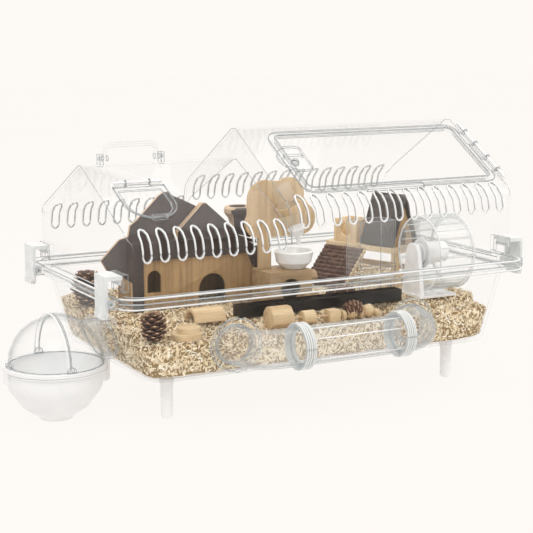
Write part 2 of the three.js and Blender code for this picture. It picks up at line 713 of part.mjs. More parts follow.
node(
  "house_front_wall",
  cut(solid(alongY(outline([[-205, FLOOR], [-22, FLOOR], [-22, 190], [-205, 190]]), 8, 12)), [
    archHole(-94, FLOOR - 1, 40, 44, 5, 15),
    archHole(-180, 138, 20, 30, 5, 15),
  ]),
  pale(),
);
node(
  "house_back_wall",
  solid(alongY(outline([[-205, FLOOR], [-25, FLOOR], [-25, 188], [-205, 188]]), 70, 74)),
  pale(),
);
node("house_side_left", solid(box(-205, -201, 12.3, 69.7, FLOOR, 188)), pale());
node("house_side_right", solid(box(-29, -25, 12.3, 69.7, FLOOR, 188)), pale());

// dark gable board across the front of the house: stepped slopes, a pointed wing at each end
node(
  "house_crown_board",
  solid(
    alongY(
      outline([
        [-214, FLOOR],
        [-197, FLOOR],
        [-197, 182],
        [-44, 182],
        [-37, 166],
        [-20, 150],
        [-9, 166],
        [-29, 190.5],
        [-62, 212],
        [-77, 224],
        [-99, 239.5],
        [-120, 251.5],
        [-139, 261],
        [-153, 267],
        [-160, 273],
        [-167, 273],
        [-175, 268],
        [-205.5, 238.5],
        [-215.5, 231.5],
        [-218.5, 217],
        [-231, 214],
        [-257, 188.5],
        [-249, 174.5],
        [-240.5, 172.5],
        [-228, 163.5],
        [-214, 155],
      ]),
      3,
      7.7,
    ),
  ),
  dark(),
);
node(
  "house_dormer_board",
  solid(
    alongY(
      outline([[-153, 208], [-66, 208], [-66, 218], [-76.5, 226], [-111, 256.5], [-116, 256], [-153, 220]]),
      -9,
      2.7,
    ),
  ),
  dark(),
);
const ROOF_LEFT = [[-194, 191], [-150.2, 231]];
const ROOF_RIGHT = [[-149.8, 231], [-26, 193]];
const roofPanel = ([[ax, az], [bx, bz]]) => {
  const shape = outline([[ax, az], [bx, bz], [bx, bz + 4.5], [ax, az + 4.5]]);
  return solid(alongY(shape, 8, 82));
};
node("house_roof_left", roofPanel(ROOF_LEFT), dark());
node("house_roof_right", roofPanel(ROOF_RIGHT), dark());

const chimneyProfile = [
  [0, 180],
  [14.5, 180],
  [15, 217],
  [17, 225],
  [22.5, 232],
  [22.5, 238],
  [20, 241],
  [15.5, 241],
  [12, 228],
  [0, 226],
];
node(
  "house_chimney",
  solid(turned(chimneyProfile, 20, -33, 44)).subtract(
    solid(alongY(outline([[-162, 150], [-8, 150], [-8, 193], [-162, 240.3]]), 0, 100)),
  ),
  dark(),
);

// ---------------------------------------------------------------- viewing deck with hut and ladder
const deckFrame = new THREE.Matrix4()
  .makeTranslation(DECK.x, DECK.y, 0)
  .multiply(new THREE.Matrix4().makeRotationZ(THREE.MathUtils.degToRad(DECK.turn)));
const onDeck = (geometry) => solid(geometry.applyMatrix4(deckFrame));

function deck() {
  const under = DECK.top - DECK.thick;
  const parts = [onDeck(box(-DECK.hx, DECK.hx, -DECK.hy, DECK.hy, under, DECK.top))];
  for (const [x, y] of [
    [-58, -24],
    [58, -24],
    [58, 24],
    [-58, 24],
  ]) {
    parts.push(onDeck(box(x - 4.5, x + 4.5, y - 4.5, y + 4.5, FLOOR, under + 1)));
  }
  parts.push(onDeck(box(-60, 60, 24, 28, 132, 140)));
  return join(parts);
}
node("deck", deck(), pale());

function deckBox() {
  const z = DECK.top + GAP;
  const shell = onDeck(box(-54, -12, -24, 14, z, z + 33));
  return cut(shell, [
    onDeck(box(-50, -16, -20, 10, z + 4, z + 40)),
    onDeck(rod("y", 9, -40, -10, [-33, z + 17], 16)),
  ]);
}
node("deck_box", deckBox(), pale());

// steep hut whose ridge runs along the deck, with an arched door in one gable
function deckHut() {
  const z = DECK.top + GAP;
  const gable = (inset) => {
    const h = 24 - inset;
    return outline([[-h, z - 1 + inset], [h, z - 1 + inset], [h, z + 8], [0, z + 64 - 2.4 * inset], [-h, z + 8]]);
  };
  const out = onDeck(alongX(gable(0), 4, 54)).intersect(onDeck(box(-10, 62, -30, 30, z, 300)));
  const hollow = onDeck(alongX(gable(3), 7.5, 50.5));
  const s = new THREE.Shape();
  s.moveTo(-9, z - 2);
  s.lineTo(9, z - 2);
  s.lineTo(9, z + 17);
  s.absarc(0, z + 17, 9, 0, Math.PI, false);
  return cut(out, [hollow, onDeck(alongX(s, 45, 60)), onDeck(box(8, 50, -20.5, 20.5, z - 2, z + 6))]);
}
node("deck_hut", deckHut(), pale());

function hutRoof() {
  const z = DECK.top + GAP;
  const shape = outline([
    [-30, z + 1],
    [-30, z + 6],
    [0, z + 75],
    [30, z + 6],
    [30, z + 1],
    [0, z + 66],
  ]);
  const gable = outline([[-24.7, z - 5], [24.7, z - 5], [24.7, z + 8.2], [0, z + 65.6], [-24.7, z + 8.2]]);
  return onDeck(alongX(shape, -1, 59)).subtract(onDeck(alongX(gable, 3, 55)));
}
node("deck_hut_roof", hutRoof(), dark());

function stickLadder() {
  const sticks = [];
  const count = 10;
  for (let i = 0; i < count; i++) {
    const out = 36 + i * 5.1;
    const z = 163 - i * 4.9;
    sticks.push(onDeck(rod("x", 4.3, -60 + (i % 3), 8 + ((i * 5) % 4), [-out, z], 6)));
  }
  return join(sticks);
}
node("stick_ladder", stickLadder(), bark());

// ---------------------------------------------------------------- running wheel
const wheelAt = [WHEEL.y, WHEEL.z];
function wheelDrum() {
  const { x0, x1, r } = WHEEL;
  const tread = ring("x", r, r - 2.5, x0, x1, wheelAt, 24);
  const back = ring("x", r - 1, 15.4, x0, x0 + 2.5, wheelAt, 24);
  const lip = ring("x", r, r - 6, x1 - 2.5, x1, wheelAt, 24);
  const rungs = [];
  for (let i = 0; i < 12; i++) {
    const rung = box(x0 + 1, x1 - 1, -1.2, 1.2, r - 5, r - 1);
    rung.rotateX((i * Math.PI) / 6).translate(0, WHEEL.y, WHEEL.z);
    rungs.push(solid(rung));
  }
  return join([tread, back, lip, ...rungs]);
}
node("wheel_drum", wheelDrum(), clear());
node(
  "wheel_hub",
  cut(
    join([
      solid(rod("x", 15, WHEEL.x0 - 1, WHEEL.x0 + 40, wheelAt, 20)),
      solid(rod("x", 21, WHEEL.x0 + 2.8, WHEEL.x0 + 5, wheelAt, 20)),
    ]),
    [solid(rod("x", 4.5, WHEEL.x0 - 12, WHEEL.x0 + 34, wheelAt, 12))],
  ),
  white(),
);
node(
  "wheel_stand",
  join([
    solid(box(WHEEL.x0 - 14, WHEEL.x1 - 12, WHEEL.y - 26, WHEEL.y + 26, FLOOR, 118)),
    solid(
      alongX(
        outline([
          [WHEEL.y - 24, FLOOR],
          [WHEEL.y + 24, FLOOR],
          [WHEEL.y + 14, WHEEL.z + 4],
          [WHEEL.y + 8, WHEEL.z + 14],
          [WHEEL.y - 8, WHEEL.z + 14],
          [WHEEL.y - 14, WHEEL.z + 4],
        ]),
        WHEEL.x0 - 12,
        WHEEL.x0 - 6,
      ),
    ),
    solid(rod("x", 4, WHEEL.x0 - 7, WHEEL.x0 + 32, wheelAt, 12)),
  ]),
  white(),
);

// ---------------------------------------------------------------- drinking place
const BOTTLE = { from: [-16, -43, 276], to: [7, -43, 220], neck: [11, -41, 209], tip: [15, -38, 196] };
function bottleBoard() {
  const s = new THREE.Shape();
  s.moveTo(-40, 163.3);
  s.lineTo(-21, 163.3);
  s.lineTo(-21, 206);
  s.lineTo(20, 206);
  s.absarc(26, 228, 22, -Math.PI / 2, Math.PI / 3, false);
  s.absarc(6, 262, 24, -0.2, 0.7 * Math.PI, false);
  s.absarc(-30, 258, 26, 0.4 * Math.PI, Math.PI, false);
  s.absarc(-40, 226, 20, 0.8 * Math.PI, 1.5 * Math.PI, false);
  const board = solid(alongY(s, -25, -20, 4));
  const path = (a) => [0, 1, 2].map((k) => BOTTLE.from[k] + (BOTTLE.to[k] - BOTTLE.from[k]) * a);
  const band = solid(strut(path(0.45), path(0.6), 17.8, 17.8, 20));
  const block = solid(box(-12, 4, -30, -24, 240, 250));
  return cut(join([board, band, block]), [
    solid(strut(path(-0.2), path(1.2), 15.4, 15.4, 20)),
  ]);
}
node("bottle_board", bottleBoard(), pale());
node("water_bottle", solid(strut(BOTTLE.from, BOTTLE.to, 13, 15, 20)), clear());
function bottleSpout() {
  const toward = (a, b, t) => a.map((v, k) => v + (b[k] - v) * t);
  const cap = solid(strut(BOTTLE.to, BOTTLE.neck, 13, 8, 16));
  const tip = solid(strut(toward(BOTTLE.to, BOTTLE.neck, 0.9), BOTTLE.tip, 3.5, 3, 12));
  return cap.add(tip).subtract(solid(strut(BOTTLE.from, toward(BOTTLE.from, BOTTLE.to, 1.006), 16)));
}
node("bottle_spout", bottleSpout(), white());
const dishProfile = [
  [0, 163.3],
  [15, 163.3],
  [24, 172],
  [27, 186],
  [24.5, 187.5],
  [22, 181],
  [18, 172],
  [0, 170],
];
node("drinking_dish", solid(turned(dishProfile, 20, 7, -37)), white());
function dishBox() {
  const shell = solid(box(-42, 24, -59, -8, FLOOR, 163));
  return cut(shell, [
    solid(box(-37, 19, -54, -13, FLOOR - 1, 158)),
    solid(rod("y", 15, -65, -50, [-9, 138], 16)),
  ]).add(solid(rod("x", 10, 23, 37, [-42, 150], 8)));
}
node("dish_box", dishBox(), pale());

// ---------------------------------------------------------------- sand bath, food hopper
function openBox(x0, x1, y0, y1, z0, z1, wall) {
  return solid(box(x0, x1, y0, y1, z0, z1)).subtract(
    solid(box(x0 + wall, x1 - wall, y0 + wall, y1 - wall, z0 + wall, z1 + 1)),
  );
}
node("sand_bath", openBox(-104, 146, -94.5, -73, FLOOR, 130.5, 2), look(0x3b3330, 0.15));
node(
  "food_hopper",
  openBox(98, 156, -62, -26, FLOOR, 222, 2)
    .subtract(solid(box(104, 150, -66, -58, FLOOR + 3, 136)))
    .add(solid(box(98, 156, -65, -61, 156, 161))),
  clear(),
);

// ---------------------------------------------------------------- chew toys and nature pieces
const TOY_Y = -124;
function toyString() {
  const low = BED.front + GAP;
  const beads = [
    [-64, 14, "octagon", 30],
    [-21, 9.5, "round", 18],
    [17, 8, "cube", 16],
    [33, 7, "round", 5],
    [46, 10, "cone", 0],
    [59, 7, "round", 5],
    [72, 9, "ball", 0],
    [86, 5, "ball", 0],
  ];
  const parts = [];
  let last = null;
  for (const [x, r, kind, length] of beads) {
    const at = [TOY_Y, low + r];
    if (kind === "octagon") {
      const turned45 = rod("x", r / Math.cos(Math.PI / 8), -length / 2, length / 2, [0, 0], 8);
      turned45.rotateX(Math.PI / 8).translate(x, at[0], at[1]);
      parts.push(solid(turned45));
    }
    if (kind === "round") parts.push(solid(rod("x", r, x - length / 2, x + length / 2, at, 12)));
    if (kind === "cube") parts.push(solid(box(x - r, x + r, TOY_Y - r, TOY_Y + r, low, low + 2 * r)));
    if (kind === "ball") {
      parts.push(solid(new THREE.SphereGeometry(r, 8, 6).translate(x, ...at)));
    }
    if (kind === "cone") {
      parts.push(solid(new THREE.SphereGeometry(r, 8, 6).scale(1.1, 1, 1).translate(x, ...at)));
    }
    const here = [x, ...at];
    if (last) parts.push(solid(strut(last, here, 1.2, 1.2, 6)));
    last = here;
  }
  return join(parts);
}
node("toy_string", toyString(), look(0xcfa874, 0.6));

function pineCone(x, y, z, r, height) {
  const profile = [[0, z]];
  const rows = 6;
  for (let i = 0; i < rows; i++) {
    const t = (i + 0.2) / rows;
    const wide = r * Math.sin(Math.PI * (0.18 + 0.74 * t));
    profile.push([wide * 0.72, z + height * t], [wide, z + height * (t + 0.08)]);
  }
  profile.push([0, z + height]);
  return solid(turned(profile, 12, x, y));
}
node("pine_cone_rear", pineCone(-250, 72, FLOOR, 21.5, 50), look(0x5a4334, 0.85));
node("pine_cone_front", pineCone(-240, -124, BED.front + GAP, 16.5, 38), look(0x5a4334, 0.85));
// a cone lying along the cage behind the sand bath
const lyingCone = pineCone(0, 0, -23, 12.5, 46).rotate([0, 90, 0]).translate([68, -58, FLOOR + 12.6]);
node("pine_cone_middle", lyingCone, look(0x5a4334, 0.85));
node(
  "wood_slices",
  join([
    solid(rod("z", 19, BED.front + GAP, 112, [-196, -124.5], 16)),
    solid(rod("z", 15, 111, 119, [-192, -123], 16)),
  ]),
  pale(),
);
function halfTube(x0, x1, y, r, bore, z) {
  return ring("x", r, bore, x0, x1, [y, z], 24).intersect(solid(box(x0, x1, y - r, y + r, z, z + r)));
}
node("half_log", halfTube(-168, -124, -76, 17, 12.5, FLOOR), look(0xb98b5b, 0.8));
node(
  "log_arch",
  ring("y", 19, 14.5, -71, -61, [20, FLOOR], 24).intersect(
    solid(box(0, 40, -71, -61, FLOOR, FLOOR + 30)),
  ),
  pale(),
);

export default cage;
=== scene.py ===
"""Hamster cage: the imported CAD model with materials, shavings, bark, cones and fine plastic detail."""

import json
import math
import random

import bmesh
import bpy
import numpy as np
from mathutils import Matrix, Vector, noise


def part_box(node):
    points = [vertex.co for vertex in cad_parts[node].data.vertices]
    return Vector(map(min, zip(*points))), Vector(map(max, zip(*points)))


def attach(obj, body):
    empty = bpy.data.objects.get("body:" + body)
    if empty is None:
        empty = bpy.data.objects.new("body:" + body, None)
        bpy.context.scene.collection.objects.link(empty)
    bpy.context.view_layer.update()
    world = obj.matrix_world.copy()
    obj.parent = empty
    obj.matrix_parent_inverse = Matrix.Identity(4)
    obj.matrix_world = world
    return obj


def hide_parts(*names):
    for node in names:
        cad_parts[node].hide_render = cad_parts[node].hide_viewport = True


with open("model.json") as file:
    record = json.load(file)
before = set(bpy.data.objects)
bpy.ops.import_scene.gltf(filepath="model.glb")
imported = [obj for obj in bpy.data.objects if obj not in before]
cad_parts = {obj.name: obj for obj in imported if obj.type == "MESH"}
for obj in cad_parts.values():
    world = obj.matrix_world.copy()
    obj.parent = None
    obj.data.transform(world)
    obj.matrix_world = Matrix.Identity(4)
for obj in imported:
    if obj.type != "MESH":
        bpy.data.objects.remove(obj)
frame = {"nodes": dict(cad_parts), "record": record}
bpy.context.view_layer.update()
nodes = frame["nodes"]

# The tray's middle, on the floor: sizes below are in millimetres from here.
tray_low, tray_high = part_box("base_tray")
MIDDLE = Vector(((tray_low.x + tray_high.x) / 2, (tray_low.y + tray_high.y) / 2, 0))


def at(x, y, z):
    return MIDDLE + Vector((x, y, z)) / 1000


# ---------------------------------------------------------------- node helpers
class Look:
    """One procedural material: new(kind, inputs) adds a node and links or sets its inputs."""

    def __init__(self, name):
        self.material = bpy.data.materials.new(name)
        self.material.use_nodes = True
        self.tree = self.material.node_tree
        self.tree.nodes.clear()
        self.output = self.tree.nodes.new("ShaderNodeOutputMaterial")

    def new(self, kind, inputs=None, **settings):
        made = self.tree.nodes.new("ShaderNode" + kind)
        for key, value in settings.items():
            setattr(made, key, value)
        for key, value in (inputs or {}).items():
            if isinstance(value, bpy.types.NodeSocket):
                self.tree.links.new(value, made.inputs[key])
            else:
                made.inputs[key].default_value = value
        return made

    def math(self, operation, a, b=0.0, clamp=False):
        return self.new("Math", {0: a, 1: b}, operation=operation, use_clamp=clamp).outputs[0]

    def points(self, scale=(1, 1, 1), turn=(0, 0, 0)):
        where = self.new("TexCoord").outputs["Object"]
        inputs = {"Vector": where, "Scale": scale, "Rotation": [math.radians(a) for a in turn]}
        return self.new("Mapping", inputs).outputs[0]

    def noise(self, where, scale, detail=3.0, rough=0.5, distortion=0.0):
        inputs = {
            "Vector": where, "Scale": scale, "Detail": detail, "Roughness": rough, "Distortion": distortion
        }
        return self.new("TexNoise", inputs).outputs["Fac"]

    def ramp(self, factor, stops, interpolation="LINEAR"):
        made = self.new("ValToRGB", {"Fac": factor})
        made.color_ramp.interpolation = interpolation
        elements = made.color_ramp.elements
        while len(elements) < len(stops):
            elements.new(0.5)
        for element, (place, colour) in zip(elements, stops):
            element.position = place
            element.color = colour if len(colour) == 4 else (*colour, 1)
        return made.outputs["Color"]

    def mix(self, factor, a, b, blend="MIX"):
        made = self.new("Mix", data_type="RGBA", blend_type=blend)
        for key, value in ((0, factor), (6, a), (7, b)):
            if isinstance(value, bpy.types.NodeSocket):
                self.tree.links.new(value, made.inputs[key])
            else:
                made.inputs[key].default_value = value if key == 0 else (*value, 1)[:4]
        return made.outputs[2]

    def bump(self, height, strength, distance):
        inputs = {"Height": height, "Strength": strength, "Distance": distance}
        return self.new("Bump", inputs).outputs["Normal"]

    def finish(self, shader):
        self.tree.links.new(shader, self.output.inputs["Surface"])
        return self.material

    def principled(self, **inputs):
        return self.new("BsdfPrincipled", inputs).outputs["BSDF"]


def srgb(hex_colour):
    parts = [int(hex_colour[i : i + 2], 16) / 255 for i in (1, 3, 5)]
    return tuple(c / 12.92 if c <= 0.04045 else ((c + 0.055) / 1.055) ** 2.4 for c in parts)


# ---------------------------------------------------------------- materials
def clear_look(name, haze=0.02, edge=0.6, line="#a0a6a9", tint=(0.998, 0.999, 0.999), crease=0.7, power=8.0):
    """Clear plastic: a faint haze over what is behind it, and grey lines at creases and grazing edges."""
    k = Look(name)
    where = k.points()
    cloud = k.noise(where, 22, 3)
    scuff = k.noise(k.points((1, 1, 1), (20, 35, 10)), 160, 4, 0.6)
    ripple = k.bump(k.noise(where, 35, 2), 0.03, 0.002)
    facing = k.new("LayerWeight", {"Blend": 0.5}).outputs["Facing"]
    edge_on = k.math("MULTIPLY", k.math("POWER", facing, power), edge)
    rounded = k.new("Bevel", {"Radius": 0.0011}, samples=4).outputs["Normal"]
    flat = k.new("NewGeometry").outputs["Normal"]
    bent = k.new("VectorMath", {0: rounded, 1: flat}, operation="DOT_PRODUCT").outputs["Value"]
    crease_mask = k.math("MULTIPLY", k.math("SUBTRACT", 1.0, bent), 5.0, clamp=True)
    lines = k.math("ADD", edge_on, k.math("MULTIPLY", crease_mask, crease), clamp=True)
    patches = k.math("ADD", k.math("MULTIPLY", cloud, 0.8), k.math("MULTIPLY", scuff, 0.4))
    veil = k.math("MULTIPLY", patches, haze * 1.6)
    clear = k.new("BsdfTransparent", {"Color": (*tint, 1)}).outputs[0]
    milk = k.principled(**{"Base Color": (*srgb("#f4f6f6"), 1), "Roughness": 0.35, "Normal": ripple})
    border = k.principled(**{"Base Color": (*srgb(line), 1), "Roughness": 0.25, "Normal": ripple})
    veiled = k.new("MixShader", {"Fac": veil, 1: clear, 2: milk}).outputs[0]
    through = k.new("MixShader", {"Fac": lines, 1: veiled, 2: border}).outputs[0]
    gloss = k.new("BsdfGlossy", {"Color": (1, 1, 1, 1), "Roughness": 0.04, "Normal": ripple}).outputs[0]
    shine = k.math("ADD", k.math("MULTIPLY", k.math("POWER", facing, 5.0), 0.4), 0.012)
    outside = k.math("SUBTRACT", 1.0, k.new("NewGeometry").outputs["Backfacing"])
    shine = k.math("MULTIPLY", shine, outside)
    return k.finish(k.new("MixShader", {"Fac": shine, 1: through, 2: gloss}).outputs[0])


def milky_look(name, cover=0.72, body="#e8ebeb", light="#fafbfb"):
    k = Look(name)
    where = k.points()
    cloud = k.noise(where, 60, 3)
    tone = k.ramp(cloud, [(0.3, srgb(body)), (0.7, srgb(light))])
    ripple = k.bump(k.noise(where, 220, 3), 0.06, 0.0006)
    rough = k.math("ADD", k.math("MULTIPLY", cloud, 0.12), 0.2)
    shell = k.principled(**{"Base Color": tone, "Roughness": rough, "Normal": ripple})
    clear = k.new("BsdfTransparent", {"Color": (0.97, 0.98, 0.98, 1)}).outputs[0]
    facing = k.new("LayerWeight", {"Blend": 0.4}).outputs["Facing"]
    amount = k.math("ADD", k.math("MULTIPLY", facing, 0.3), cover, clamp=True)
    return k.finish(k.new("MixShader", {"Fac": amount, 1: clear, 2: shell}).outputs[0])


def white_look(name, light="#f3f4f4", shade="#ececed", rough=0.22):
    k = Look(name)
    where = k.points()
    cloud = k.noise(where, 45, 4)
    tone = k.ramp(cloud, [(0.3, srgb(shade)), (0.7, srgb(light))])
    ripple = k.bump(k.noise(where, 420, 2), 0.05, 0.0004)
    value = k.math("ADD", k.math("MULTIPLY", cloud, 0.12), rough)
    return k.finish(
        k.principled(**{"Base Color": tone, "Roughness": value, "Normal": ripple, "Coat Weight": 0.25})
    )


def wood_look(name, shades, along="x", fine=1.0, rough=0.55, pores=0.5, bump=0.25, turn=(0, 0, 0), sawn=None):
    """Planed wood: growth bands, fibres and pores along one axis. sawn colours the faces off the Y axis."""
    k = Look(name)
    slim = {"x": (0.05, 1, 1), "y": (1, 0.05, 1), "z": (1, 1, 0.05)}[along]
    band = k.noise(k.points([c * 90 * fine for c in slim], turn), 1.0, 4, 0.55, 1.4)
    fibre = k.noise(k.points([c * 900 * fine for c in slim], turn), 1.0, 3, 0.7)
    pore = k.noise(k.points([c * 1600 * fine for c in slim], turn), 1.0, 1, 0.5)
    patch = k.noise(k.points((1, 1, 1), turn), 28, 2)
    dark, middle, light = (srgb(c) for c in shades)
    tone = k.ramp(band, [(0.28, dark), (0.47, middle), (0.62, light), (0.75, middle)])
    tone = k.mix(0.55, tone, k.ramp(fibre, [(0.3, dark), (0.6, light)]), "SOFT_LIGHT")
    tone = k.mix(0.35, tone, k.ramp(patch, [(0.3, middle), (0.7, light)]))
    spots = k.math("MULTIPLY", k.math("GREATER_THAN", pore, 0.66), pores)
    tone = k.mix(spots, tone, dark)
    if sawn:
        normal = k.new("TexCoord").outputs["Normal"]
        across = k.math("ABSOLUTE", k.new("SeparateXYZ", {0: normal}).outputs["Y"])
        layers = k.ramp(k.noise(k.points((3, 1100, 3)), 1.0, 1), [(0.4, srgb(sawn[0])), (0.6, srgb(sawn[1]))])
        tone = k.mix(k.math("LESS_THAN", across, 0.5), tone, layers)
    raised = k.math("ADD", k.math("MULTIPLY", band, 0.6), k.math("MULTIPLY", fibre, 0.5))
    height = k.math("SUBTRACT", raised, spots)
    shine = k.math("ADD", k.math("MULTIPLY", fibre, 0.2), rough - 0.08)
    return k.finish(
        k.principled(**{"Base Color": tone, "Roughness": shine, "Normal": k.bump(height, bump, 0.0008)})
    )


def bark_look(name, shades=("#2a1b14", "#4b3124", "#6e4c38"), bump=0.7):
    k = Look(name)
    where = k.points()
    cloud = k.noise(where, 130, 5, 0.65)
    crack = k.new("TexVoronoi", {"Vector": k.points((1, 1, 0.5)), "Scale": 260.0}, feature="DISTANCE_TO_EDGE")
    cracks = crack.outputs["Distance"]
    tone = k.ramp(cloud, [(0.3, srgb(shades[0])), (0.5, srgb(shades[1])), (0.72, srgb(shades[2]))])
    tone = k.mix(k.ramp(cracks, [(0.0, (1, 1, 1)), (0.12, (0, 0, 0))]), tone, srgb(shades[0]))
    height = k.math("ADD", cloud, k.math("MULTIPLY", cracks, 1.2))
    return k.finish(
        k.principled(**{"Base Color": tone, "Roughness": k.math("ADD", k.math("MULTIPLY", cloud, 0.2), 0.7),
                        "Normal": k.bump(height, bump, 0.0012)})
    )


def end_grain_look(name, light="#e6c391", dark="#b98752"):
    """Sawn end of a branch or a bead: rings round the middle of each piece."""
    k = Look(name)
    where = k.points()
    ring = k.new("TexVoronoi", {"Vector": where, "Scale": 75.0}).outputs["Distance"]
    bands = k.math("SINE", k.math("MULTIPLY", ring, 60))
    cloud = k.noise(where, 300, 3)
    mixed = k.math("ADD", k.math("MULTIPLY", bands, 0.22), cloud)
    tone = k.ramp(mixed, [(0.25, srgb(dark)), (0.7, srgb(light))])
    return k.finish(
        k.principled(**{"Base Color": tone, "Roughness": k.math("ADD", k.math("MULTIPLY", cloud, 0.2), 0.55),
                        "Normal": k.bump(mixed, 0.2, 0.0005)})
    )


def tone_look(name, stops, rough=0.75, streak=(40, 40, 40), bump=0.3, attribute="tone"):
    """Many small natural pieces: each piece's own tone runs through one ramp, with fibres on top."""
    k = Look(name)
    own = k.new("Attribute", attribute_name=attribute).outputs["Fac"]
    fibre = k.noise(k.points(streak), 20, 3, 0.6)
    value = k.math("ADD", own, k.math("MULTIPLY", k.math("SUBTRACT", fibre, 0.5), 0.3), clamp=True)
    tone = k.ramp(value, [(p, srgb(c)) for p, c in stops])
    shine = k.math("ADD", k.math("MULTIPLY", fibre, 0.2), rough - 0.1)
    return k.finish(
        k.principled(**{"Base Color": tone, "Roughness": shine, "Normal": k.bump(fibre, bump, 0.0006)})
    )


def smoked_look(name):
    k = Look(name)
    where = k.points()
    cloud = k.noise(where, 50, 3)
    tone = k.ramp(cloud, [(0.3, srgb("#1d1916")), (0.7, srgb("#2c2622"))])
    rough = k.math("ADD", k.math("MULTIPLY", cloud, 0.1), 0.12)
    shell = k.principled(**{"Base Color": tone, "Roughness": rough})
    clear = k.new("BsdfTransparent", {"Color": (0.45, 0.4, 0.36, 1)}).outputs[0]
    amount = k.math("ADD", k.math("MULTIPLY", cloud, 0.2), 0.45)
    return k.finish(k.new("MixShader", {"Fac": amount, 1: clear, 2: shell}).outputs[0])


CLEAR = clear_look("clear_shell", haze=0.006, edge=0.35, line="#b4babd", power=10.0)
CLEAR_THICK = clear_look("clear_moulding", haze=0.04, edge=0.7, crease=0.7, line="#a8aeb0", power=5.0)
CLEAR_TUBE = clear_look("clear_tube", haze=0.06, edge=0.9, crease=0.6, line="#a4aaac", power=3.5)
CLEAR_DOME = clear_look("clear_dome", haze=0.02, edge=0.8, crease=0.6, line="#999fa2", power=5.0)
LINE = milky_look("grey_edge", cover=0.5, body="#969c9f", light="#b4babd")
RIM_BEAD = milky_look("pale_bead", cover=0.62, body="#f6f7f7")
GREY_BEAD = milky_look("grey_bead", cover=0.55, body="#b0b6b8", light="#c9ced0")
MILKY = milky_look("milky_plastic", cover=0.62, body="#dde1e1", light="#eef0f0")
RING = milky_look("ring_plastic", cover=0.4, body="#c3c9ca", light="#d8dcdd")
PALE_LINE = milky_look("pale_edge", cover=0.42, body="#b4babd", light="#cdd2d4")
WHITE = white_look("white_plastic")
BOWL = white_look("pale_grey_plastic", light="#eff0f0", shade="#e8e9ea", rough=0.26)
CERAMIC = white_look("white_glaze", light="#f1f1f0", shade="#e2e2e1", rough=0.08)
PINE = ("#b99f80", "#d5bd9b", "#e9d8ba")
STAIN = ("#332a28", "#483d3a", "#5d504b")
# A darker copy of the pine, toned to the dish box where it stands in shade: painted shade.
SHADED_PINE = ("#8a7355", "#a38b69", "#b8a07f")
PLY_X = wood_look("plywood_along_x", PINE, "x")
PLY_Z = wood_look("plywood_upright", PINE, "z")
TAN_Z = wood_look("tan_board", ("#7d6747", "#a18660", "#bba078"), "z")
BOARD_Z = wood_look("cloud_board_wood", ("#a38c6d", "#bda586", "#d2bd9d"), "z")
SAWN = ("#b89a7c", "#d6bd9f")
UMBER_X = wood_look("stained_board", STAIN, "x", rough=0.6, pores=0.3)
UMBER_Z = wood_look("stained_upright", STAIN, "z", rough=0.6, pores=0.3, sawn=SAWN)
GREY_X = wood_look("weathered_board", ("#2e2a28", "#4b4542", "#665e58"), "x", rough=0.65, pores=0.4)
TURNED = wood_look("turned_wood", ("#b0936c", "#cdb492", "#dcc8a6"), "x", fine=0.7)
SHADED_PINE_X = wood_look("pine_painted_shade_along_x", SHADED_PINE, "x")
BARK = bark_look("bark", ("#3a2820", "#64483a", "#8f705c"))
CUT_END = end_grain_look("cut_end", light="#f7e6c8", dark="#e0c090")
CONE = tone_look("cone_scales", [(0.0, "#2c1b13"), (0.4, "#664634"), (0.72, "#9c785c"), (1.0, "#d8b793")])
SHAVING = tone_look(
    "shavings",
    [(0.0, "#a08460"), (0.18, "#d0b68d"), (0.42, "#ead5ad"), (0.7, "#f9eacb"), (1.0, "#fffaec")],
    rough=0.7,
    streak=(30, 90, 90),
)
UNDER = tone_look(
    "packed_shavings",
    [(0.0, "#93784f"), (0.35, "#c0a478"), (0.65, "#e0c89d"), (1.0, "#f2e1bd")],
    streak=(14, 30, 30),
    bump=0.8,
    attribute="none",
)
SMOKED = smoked_look("smoked_plastic")
WATER = clear_look("water", haze=0.05, edge=0.35, tint=(0.985, 0.992, 0.995), crease=0.1)


# ---------------------------------------------------------------- mesh helpers
def make(name, verts, faces, material, body, slot=None, replaces=(), smooth=True, tones=None, seconds=None):
    """A new piece from points in the row frame. tones gives each face its own tone."""
    mesh = bpy.data.meshes.new(name)
    mesh.from_pydata([tuple(v) for v in verts], [], [tuple(f) for f in faces])
    for m in material if isinstance(material, list) else [material]:
        mesh.materials.append(m)
    mesh.polygons.foreach_set("use_smooth", [smooth] * len(mesh.polygons))
    if seconds is not None:
        mesh.polygons.foreach_set("material_index", seconds)
    if tones is not None:
        values = mesh.attributes.new("tone", "FLOAT", "FACE")
        values.data.foreach_set("value", np.asarray(tones, np.float32))
    mesh.update()
    piece = bpy.data.objects.new(name, mesh)
    bpy.context.scene.collection.objects.link(piece)
    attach(piece, body)
    if replaces:
        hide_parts(*replaces)
    return piece


def tube(points, radius, sides=8, closed=False, caps=True):
    """Verts and faces of a round rod along points. radius is one number, or one for each point."""
    points = [Vector(p) for p in points]
    n = len(points)
    radii = radius if hasattr(radius, "__len__") else [radius] * n
    verts, faces = [], []
    up = Vector((0, 0, 1))
    for i, p in enumerate(points):
        before = points[(i - 1) % n] if closed or i else p
        after = points[(i + 1) % n] if closed or i < n - 1 else p
        along = (after - before).normalized()
        side = along.cross(up)
        if side.length < 0.05:
            side = along.cross(Vector((0, 1, 0)))
        side.normalize()
        lift = side.cross(along)
        for k in range(sides):
            a = 2 * math.pi * k / sides
            verts.append(p + (side * math.cos(a) + lift * math.sin(a)) * radii[i])
    for i in range(n if closed else n - 1):
        j = (i + 1) % n
        for k in range(sides):
            m = (k + 1) % sides
            faces.append((i * sides + k, i * sides + m, j * sides + m, j * sides + k))
    if caps and not closed:
        faces.append(tuple(reversed(range(sides))))
        faces.append(tuple(range((n - 1) * sides, n * sides)))
    return verts, faces


